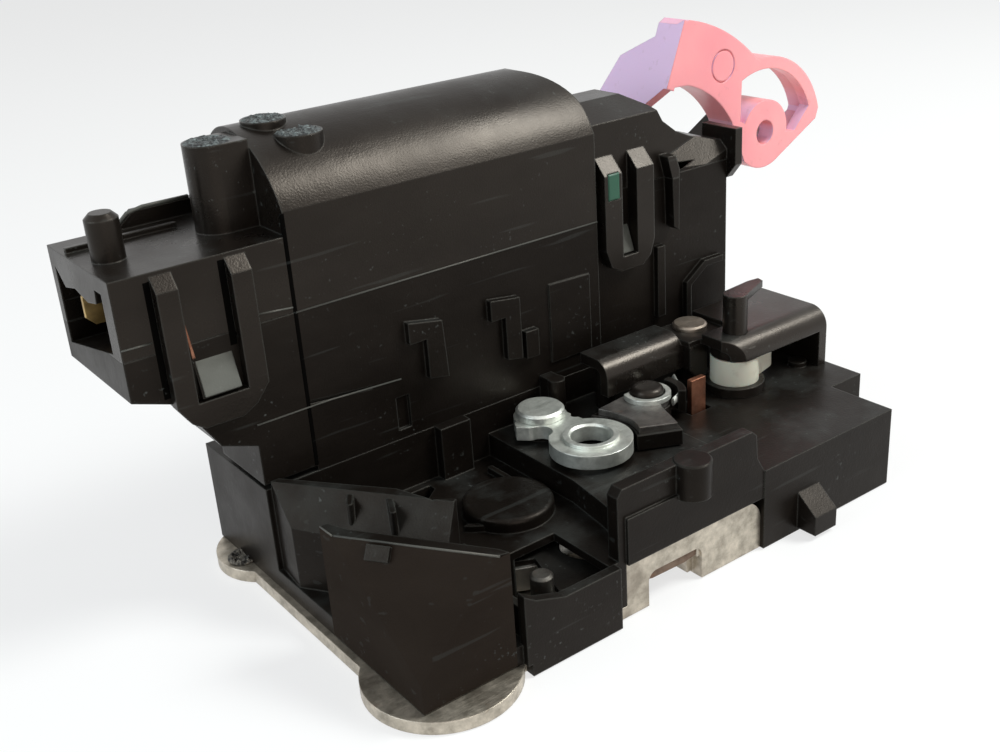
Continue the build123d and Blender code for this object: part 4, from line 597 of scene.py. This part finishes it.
@dataclass
class Bench:
    """Makes fitted pieces from millimetre sizes, finishes them and hangs them on a body."""

    finishes: dict[str, bpy.types.Material]
    BEVEL_STEPS: ClassVar[int] = 2
    BEAD_SIDES: ClassVar[int] = 8
    UPRIGHT: ClassVar[float] = 0.05      # a bead steeper than this has no side of its own
    STUB_RINGS: ClassVar[int] = 14
    STUB_SPOKES: ClassVar[int] = 56
    STUB_SKIRT: ClassVar[float] = 0.3    # how far a stub's rim goes into its boss
    STUB_WELD: ClassVar[float] = 0.0001

    def hang(self, name: str, mesh: bpy.types.Mesh, body: Body, slot: str,
             finish: str) -> bpy.types.Object:
        """Turns a mesh into a finished piece that rides on a body.

        Args:
            name: the piece's name.
            mesh: its mesh, in metres.
            body: what it moves with.
            slot: the record's material slot it belongs to; not used.
            finish: the finish it wears.

        Returns:
            The piece.
        """
        piece = bpy.data.objects.new(name, mesh)
        bpy.context.collection.objects.link(piece)
        mesh.materials.append(self.finishes[finish])
        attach(piece, body.value)
        LOG.info("fitted %s on %s", name, body.value)
        return piece

    def prism(self, name: str, outline: Outline, axis: Axis, span: tuple[float, float],
              slot: str, finish: str, soft: float = 0.0) -> bpy.types.Object:
        """Makes a straight prism with softened edges on the latch.

        Args:
            name: the piece's name.
            outline: its outline in the two other axes, in their order X, Y, Z.
            axis: the axis it runs along.
            span: where it starts and ends on that axis.
            slot: the record's material slot.
            finish: the finish it wears.
            soft: width of the softened edges.

        Returns:
            The piece.
        """
        def ring(form: bmesh.types.BMesh, depth: float) -> list[bmesh.types.BMVert]:
            """Puts the outline at a depth along the axis.

            Args:
                form: the form to add to.
                depth: place along the axis.

            Returns:
                The ring's points.
            """
            made = []
            for a, b in outline:
                spot = {Axis.X: (depth, a, b), Axis.Y: (a, depth, b), Axis.Z: (a, b, depth)}
                made.append(form.verts.new(Vector(spot[axis]) * MM))
            return made

        form = bmesh.new()
        lower, upper = ring(form, span[0]), ring(form, span[1])
        form.faces.new(lower)
        form.faces.new(upper)
        bridge(form, lower, upper)
        bmesh.ops.recalc_face_normals(form, faces=form.faces[:])
        if soft > 0:
            bmesh.ops.bevel(form, geom=form.edges[:], offset=soft * MM,
                            segments=self.BEVEL_STEPS, affect="EDGES", profile=0.5)
        return self.hang(name, mesh_from(name, form), Body.LATCH, slot, finish)

    def bead(self, name: str, path: Path, radius: float, body: Body, slot: str,
             finish: str, flat: float = 1.0) -> bpy.types.Object:
        """Makes a thin raised line or bent strip along a path.

        Args:
            name: the piece's name.
            path: points it follows.
            radius: half its width.
            body: what it moves with.
            slot: the record's material slot.
            finish: the finish it wears.
            flat: thickness over width of its section.

        Returns:
            The piece.
        """
        form = bmesh.new()
        points = [Vector(spot) * MM for spot in path]
        rings: list[list[bmesh.types.BMVert]] = []
        for i, spot in enumerate(points):
            ahead = (points[min(i + 1, len(points) - 1)] - points[max(i - 1, 0)]).normalized()
            side = ahead.cross(Vector((0, 0, 1)))
            side = side.normalized() if side.length > self.UPRIGHT else Vector((1, 0, 0))
            rise = side.cross(ahead).normalized()
            rings.append([form.verts.new(
                spot + radius * MM * (math.cos(turn) * rise + flat * math.sin(turn) * side))
                for turn in (math.tau * k / self.BEAD_SIDES for k in range(self.BEAD_SIDES))])
        for one, other in zip(rings, rings[1:]):
            bridge(form, one, other)
        form.faces.new(rings[0])
        form.faces.new(rings[-1])
        bmesh.ops.recalc_face_normals(form, faces=form.faces[:])
        for face in form.faces:
            face.smooth = len(face.verts) == 4
        return self.hang(name, mesh_from(name, form), body, slot, finish)

    def stub(self, name: str, centre: Point, radius: float, height: float, slot: str,
             finish: str, hollow: float) -> bpy.types.Object:
        """Makes the rough broken top of a round stub on the latch.

        Args:
            name: the piece's name.
            centre: middle of the face it lies on.
            radius: its radius.
            height: height of its crumbs.
            slot: the record's material slot.
            finish: the finish it wears.
            hollow: share of the height by which its middle sinks.

        Returns:
            The piece.
        """
        form = bmesh.new()
        middle = Vector(centre) * MM
        grid = []
        for i in range(self.STUB_RINGS + 1):
            reach = i / self.STUB_RINGS
            fall = min(1.0, (1 - reach) * 6)
            dip = hollow * max(0.0, 1 - reach * 1.6)
            row = []
            for k in range(self.STUB_SPOKES):
                turn = math.tau * k / self.STUB_SPOKES
                spot = Vector((math.cos(turn), math.sin(turn), 0)) * radius * MM * reach
                seed = spot / MM * 1.7 + Vector(centre)
                grit = 0.55 + 0.5 * noise.fractal(seed, 0.7, 2.1, 4)
                lift = height * MM * max(0.04, (grit - dip) * fall)
                row.append(form.verts.new(middle + spot + Vector((0, 0, lift))))
            grid.append(row)
        for one, other in zip(grid, grid[1:]):
            bridge(form, one, other)
        sunk = Vector((0, 0, self.STUB_SKIRT * MM))
        rim = [form.verts.new(vert.co - sunk) for vert in grid[-1]]
        bridge(form, grid[-1], rim)
        form.faces.new(rim)
        bmesh.ops.remove_doubles(form, verts=form.verts[:], dist=self.STUB_WELD * MM)
        bmesh.ops.recalc_face_normals(form, faces=form.faces[:])
        return self.hang(name, mesh_from(name, form), Body.LATCH, slot, finish)


@dataclass
class LatchHalf:
    """Fittings of the latch housing: corner skin in painted warm light, rims with painted
    highlight, fixing dirt, mouth lip and web.
    """

    left: float = -8.0          # side, front and top faces of the corner block
    front: float = -8.7
    top: float = 26.0
    foot: float = 8.5           # where the slanting facet ends on the block's corner
    back_top: float = 16.33     # and on its two upper edges
    right_top: float = 9.53
    bottom: float = 3.0         # reach of the skin down, back and to the right
    side_end: float = 20.9
    front_end: float = 11.5
    proud: float = 0.12         # how far the skin stands off the block
    outward: Point = (-0.72, -0.64, 0.28)
    own_lean: float = 0.22      # share of a face's own direction in its shading
    rim_lift: float = 0.02
    ear: Point = (-8.7, 57.6, 2.9)
    lip: Outline = ((56.5, -7.6), (57.9, -7.6), (57.9, -5.0), (56.9, -5.0))
    lip_span: tuple[float, float] = (4.8, 7.8)
    web: Outline = ((42.6, 8.0), (42.6, 5.6), (45.2, 4.9), (53.6, 4.7), (58.2, 5.4), (58.2, 8.0))
    web_span: tuple[float, float] = (-7.2, -6.2)

    def corner_skin(self, bench: Bench) -> None:
        """Covers the three faces of the corner block with one softly shaded open sheet, coloured a
        lighter warm brown as painted warm light.

        Args:
            bench: what makes and hangs the pieces.
        """
        left, front = self.left - self.proud, self.front - self.proud
        spots = [(left, self.back_top, self.top), (self.right_top, front, self.top),
                 (left, front, self.foot), (left, front, self.bottom),
                 (left, self.side_end, self.bottom), (left, self.side_end, self.top),
                 (self.front_end, front, self.bottom), (self.front_end, front, self.top)]
        faces = [(0, 2, 1), (0, 5, 4, 3, 2), (1, 2, 3, 6, 7)]
        mesh = bpy.data.meshes.new("corner_skin")
        mesh.from_pydata([Vector(spot) * MM for spot in spots], [], faces)
        mesh.update()
        outward = Vector(self.outward)
        for face in mesh.polygons:
            if face.normal.dot(outward) < 0:
                face.flip()
        mesh.update()
        soft = []
        for face in mesh.polygons:
            face.use_smooth = True
            lean = (self.own_lean * face.normal
                    + (1 - self.own_lean) * outward.normalized()).normalized()
            soft.extend(lean for _ in face.vertices)
        mesh.normals_split_custom_set(soft)
        bench.hang("corner_skin", mesh, Body.LATCH, "black_moulding", "corner_warm_lit")

    def rims(self, bench: Bench) -> None:
        """Lays pale rims along the tops of the corner block and its wall, as painted highlight on
        the edges.

        Args:
            bench: what makes and hangs the pieces.
        """
        line = self.top + self.rim_lift
        bench.bead("corner_rim", ((self.left + 0.2, self.back_top, line), (0.8, 3.8, line),
                                  (self.right_top, self.front, line)),
                   0.22, Body.LATCH, "black_moulding", "line_highlight")
        bench.bead("corner_rim_side", ((self.left, self.side_end - 0.1, line),
                                       (self.left, self.back_top + 0.1, line)),
                   0.16, Body.LATCH, "black_moulding", "line_highlight")

    def build(self, bench: Bench) -> None:
        """Makes all fittings of the latch housing.

        Args:
            bench: what makes and hangs the pieces.
        """
        self.corner_skin(bench)
        self.rims(bench)
        bench.stub("rear_ear_dirt", self.ear, 3.1, 0.8, "zinc_plate", "dirt", hollow=0.9)
        bench.prism("mouth_lip", self.lip, Axis.Z, self.lip_span, "zinc_plate", "zinc_plate",
                    soft=0.3)
        bench.prism("mouth_web", self.web, Axis.Y, self.web_span, "zinc_plate", "rusted",
                    soft=0.25)


@dataclass
class DeckLevers:
    """Fittings on the deck: apron under the bracket's ledge, bent end of the lock's spring."""

    ledge: float = 29.0
    foot: float = 20.9
    apron_span: tuple[float, float] = (26.45, 29.4)
    end_span: tuple[float, float] = (28.7, 30.4)
    spring: Path = ((76.6, 19.4, 22.2), (79.4, 20.4, 22.4), (81.6, 22.6, 22.9),
                    (82.6, 25.4, 24.2))

    def build(self, bench: Bench) -> None:
        """Makes the deck fittings.

        Args:
            bench: what makes and hangs the pieces.
        """
        ledge, foot = self.ledge, self.foot
        apron = ((88.9, ledge), (88.9, 23.3), (90.6, 21.2), (94.3, foot), (94.3, ledge))
        end = ((94.2, ledge), (94.2, foot), (97.2, foot), (97.2, ledge))
        for name, outline, span in (("bracket_apron", apron, self.apron_span),
                                    ("bracket_apron_end", end, self.end_span)):
            bench.prism(name, outline, Axis.Y, span, "black_bracket", "black_bracket", soft=0.25)
        bench.bead("spring_end", self.spring, 1.0, Body.LOCK, "lever_steel", "lever_steel",
                   flat=0.4)


@dataclass
class DriveUnit:
    """Fittings of the actuator: witness lines and ramps with painted highlights, stubs, strips of
    painted shadow.
    """

    front: float = 42.0         # the front face
    seam: float = 57.5
    low_seam: float = 38.2
    left: float = 3.4
    right: float = 76.5
    line_rise: float = 0.02     # how far the middle of a line stands off the front
    # depth of the painted shadow strips about the front face
    painted_shadow_span: tuple[float, float] = (-0.04, 0.3)
    rear_rim: Path = ((-17.5, 70.3, 72.3), (-14.6, 70.3, 74.8), (-11.5, 70.3, 75.4),
                      (-2.2, 70.3, 75.4))
    sliver: Outline = ((-18.5, 66.0), (-17.8, 61.0), (-17.0, 54.8), (-17.6, 54.7))

    def witness_lines(self, bench: Bench) -> None:
        """Lays the raised mould lines along the seams in pale grey as painted highlight, and the
        rim behind the connector in pale grey as painted sheen.

        Args:
            bench: what makes and hangs the pieces.
        """
        face = self.front - self.line_rise
        lines = {
            "seam_barrel": ((self.left, face, self.seam), (40.0, face, self.seam),
                            (self.right, face, self.seam)),
            "seam_case": ((-7.6, face, self.low_seam), (8.0, face, self.low_seam),
                          (24.0, face, self.low_seam - 0.8)),
            "seam_connector": ((-29.6, face, 59.8), (-24.0, face, 59.7)),
            "seam_between": ((-4.6, face, 59.3), (2.9, face, 58.6)),
        }
        for name, path in lines.items():
            bench.bead(name, path, 0.17, Body.LATCH, "black_cover", "line_highlight")
        bench.bead("rear_rim", self.rear_rim, 0.42, Body.LATCH, "black_cover", "sheen_and_scuff")

    def painted_shadow_strips(self, bench: Bench) -> None:
        """Lays near-black strips of painted shadow beside the barrel and beside the legs of the
        snap.

        Args:
            bench: what makes and hangs the pieces.
        """
        # painted shadow strips: left and right edge, foot and head
        painted_shadow_places = {"painted_shadow_barrel": (2.9, 3.7, 25.8, 76.2),
                "painted_shadow_leg_left": (-23.8, -22.62, 48.8, 70.4),
                "painted_shadow_leg_right": (-10.1, -8.82, 55.0, 70.9)}
        span = (self.front + self.painted_shadow_span[0], self.front + self.painted_shadow_span[1])
        for name, (low, high, foot, head) in painted_shadow_places.items():
            bench.prism(name, ((low, foot), (high, foot), (high, head), (low, head)), Axis.Y,
                        span, "black_cover", "painted_shadow")

    def ramps(self, bench: Bench) -> None:
        """Puts the ramps under the two snap loops, pale grey as painted reflection with scuffing,
        and a copper sliver beside one.

        Args:
            bench: what makes and hangs the pieces.
        """
        for name, outline, span in (
                ("ramp_left", ((42.2, 54.6), (39.75, 47.8), (42.2, 47.4)), (-17.2, -10.1)),
                ("ramp_right", ((44.2, 54.8), (41.9, 48.4), (44.2, 48.2)), (83.2, 87.0))):
            bench.prism(name, outline, Axis.X, span, "black_case", "sheen_and_scuff", soft=0.1)
        bench.prism("sliver", self.sliver, Axis.Y, (41.8, 42.1), "copper_plated",
                    "copper_plated")

    def stubs(self, bench: Bench) -> None:
        """Roughens the broken tops of the column and of the two bosses.

        Args:
            bench: what makes and hangs the pieces.
        """
        for name, centre, radius in (("column_top", (-2.4, 56.4, 88.2), 4.3),
                                     ("boss_top_rear", (10.4, 59.2, 89.6), 4.0),
                                     ("boss_top_front", (13.8, 52.3, 87.6), 4.3)):
            bench.stub(name, centre, radius, 0.5, "black_cover", "crumbs", hollow=0.3)

    def build(self, bench: Bench) -> None:
        """Makes the actuator's fittings.

        Args:
            bench: what makes and hangs the pieces.
        """
        self.witness_lines(bench)
        self.painted_shadow_strips(bench)
        self.ramps(bench)
        self.stubs(bench)


@dataclass(frozen=True)
class Lamp:
    """A soft square lamp."""

    name: str
    place: Point
    size: float                 # length of its side, metres
    power: float                # watts
    tint: Colour

    def hang(self, aim: Point) -> None:
        """Adds the lamp, pointed at a place.

        Args:
            aim: what it points at.
        """
        data = bpy.data.lights.new(self.name, "AREA")
        data.size = self.size
        data.energy = self.power
        data.color = self.tint
        bulb = bpy.data.objects.new(self.name, data)
        bulb.location = self.place
        towards = Vector(aim) - Vector(self.place)
        bulb.rotation_euler = towards.to_track_quat("-Z", "Y").to_euler()
        bpy.context.collection.objects.link(bulb)


@dataclass
class Studio:
    """Camera, soft lamps, pale floor and backdrop."""

    stand: Point = (-0.0893, -0.1517, 0.1366)
    turn: float = -35.357       # degrees, like tilt and roll
    tilt: float = 24.121
    roll: float = -4.047
    lens: float = 44.27         # millimetres, like the sensor's width
    sensor: float = 36.0
    nearest: float = 0.005
    centre: Point = (0.05, 0.03, 0.04)
    lamps: tuple[Lamp, ...] = (
        Lamp("key", (0.526, -0.285, 0.66), 0.32, 7.5, (0.97, 1.0, 0.97)),
        Lamp("cool_side", (-0.70, 0.10, 0.45), 0.5, 3.4, (0.80, 0.93, 1.0)),
        Lamp("front_fill", (-0.15, -0.85, 0.30), 0.6, 1.7, (1.0, 0.90, 0.82)),
    )
    fill_tint: tuple[float, ...] = (0.86, 0.90, 0.92, 1)
    fill_level: float = 0.28
    white: tuple[float, ...] = (1, 1, 1, 1)
    floor_paint: tuple[float, ...] = (0.9, 0.9, 0.9, 1)
    floor_half: float = 3.0
    floor_level: float = -0.0003
    floor_glow: float = 0.7     # share of plain white in what the eye sees of the floor

    def camera(self) -> None:
        """Sets the camera at its angle."""
        a, e, r = (math.radians(v) for v in (self.turn, self.tilt, self.roll))
        back = Vector((math.sin(a) * math.cos(e), -math.cos(a) * math.cos(e), math.sin(e)))
        right = (-back).cross(Vector((0, 0, 1))).normalized()
        up = right.cross(-back)
        side = math.cos(r) * right + math.sin(r) * up
        top = -math.sin(r) * right + math.cos(r) * up
        data = bpy.data.cameras.new("camera")
        data.lens = self.lens
        data.sensor_width = self.sensor
        data.clip_start = self.nearest
        eye = bpy.data.objects.new("camera", data)
        eye.matrix_world = Matrix.Translation(self.stand) @ Matrix(
            (side, top, back)).transposed().to_4x4()
        bpy.context.collection.objects.link(eye)
        bpy.context.scene.camera = eye

    @staticmethod
    def seen(tree: bpy.types.NodeTree, ray: bpy.types.Node) -> Socket:
        """Adds up the rays that show the background: straight, mirrored and through glass.

        Args:
            tree: the node tree to add to.
            ray: its light path node.

        Returns:
            1 on such a ray, 0 on the rest.
        """
        first = tree.nodes.new("ShaderNodeMath")
        second = tree.nodes.new("ShaderNodeMath")
        for step in (first, second):
            step.operation = "ADD"
            step.use_clamp = True
        tree.links.new(ray.outputs["Is Camera Ray"], first.inputs[0])
        tree.links.new(ray.outputs["Is Glossy Ray"], first.inputs[1])
        tree.links.new(first.outputs[0], second.inputs[0])
        tree.links.new(ray.outputs["Is Transmission Ray"], second.inputs[1])
        return second.outputs[0]

    def world(self) -> None:
        """Pale surroundings for the eye, dimmer ones for the light."""
        sky = bpy.data.worlds.new("surroundings")
        bpy.context.scene.world = sky
        sky.use_nodes = True
        tree = sky.node_tree
        tree.nodes.clear()
        out = tree.nodes.new("ShaderNodeOutputWorld")
        glow = tree.nodes.new("ShaderNodeBackground")
        fill = tree.nodes.new("ShaderNodeBackground")
        mix = tree.nodes.new("ShaderNodeMixShader")
        ray = tree.nodes.new("ShaderNodeLightPath")
        fill.inputs[0].default_value = self.fill_tint
        fill.inputs[1].default_value = self.fill_level
        glow.inputs[0].default_value = self.white
        glow.inputs[1].default_value = 1.0
        tree.links.new(self.seen(tree, ray), mix.inputs[0])
        tree.links.new(fill.outputs[0], mix.inputs[1])
        tree.links.new(glow.outputs[0], mix.inputs[2])
        tree.links.new(mix.outputs[0], out.inputs[0])

    def paint(self) -> bpy.types.Material:
        """Makes the floor's paint: matt, and partly plain white to the eye.

        Returns:
            The new material.
        """
        paint = bpy.data.materials.new("floor_white")
        paint.use_nodes = True
        tree = paint.node_tree
        tree.nodes.clear()
        out = tree.nodes.new("ShaderNodeOutputMaterial")
        matt = tree.nodes.new("ShaderNodeBsdfDiffuse")
        matt.inputs[0].default_value = self.floor_paint
        glow = tree.nodes.new("ShaderNodeEmission")
        glow.inputs[1].default_value = 1.0
        part = tree.nodes.new("ShaderNodeMixShader")
        ray = tree.nodes.new("ShaderNodeLightPath")
        share = tree.nodes.new("ShaderNodeMath")
        share.operation = "MULTIPLY"
        share.inputs[1].default_value = self.floor_glow
        tree.links.new(self.seen(tree, ray), share.inputs[0])
        tree.links.new(share.outputs[0], part.inputs[0])
        tree.links.new(matt.outputs[0], part.inputs[1])
        tree.links.new(glow.outputs[0], part.inputs[2])
        tree.links.new(part.outputs[0], out.inputs[0])
        return paint

    def floor(self) -> None:
        """Lays the pale floor."""
        mesh = bpy.data.meshes.new("floor")
        half, low = self.floor_half, self.floor_level
        mesh.from_pydata([(-half, -half, low), (half, -half, low), (half, half, low),
                          (-half, half, low)], [], [(0, 1, 2, 3)])
        ground = bpy.data.objects.new("floor", mesh)
        bpy.context.collection.objects.link(ground)
        mesh.materials.append(self.paint())

    def build(self) -> None:
        """Sets up the whole studio."""
        self.camera()
        self.world()
        self.floor()
        for lamp in self.lamps:
            lamp.hang(self.centre)
        bpy.context.scene.view_settings.view_transform = "Standard"


def main() -> None:
    """Builds the studio and the looks, in order."""
    logging.basicConfig(level=logging.INFO, format="%(name)s: %(message)s")
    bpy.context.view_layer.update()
    Studio().build()
    bench = Bench(Finishes().dress())
    for half in (LatchHalf(), DeckLevers(), DriveUnit()):
        half.build(bench)


if __name__ == "__main__":
    main()
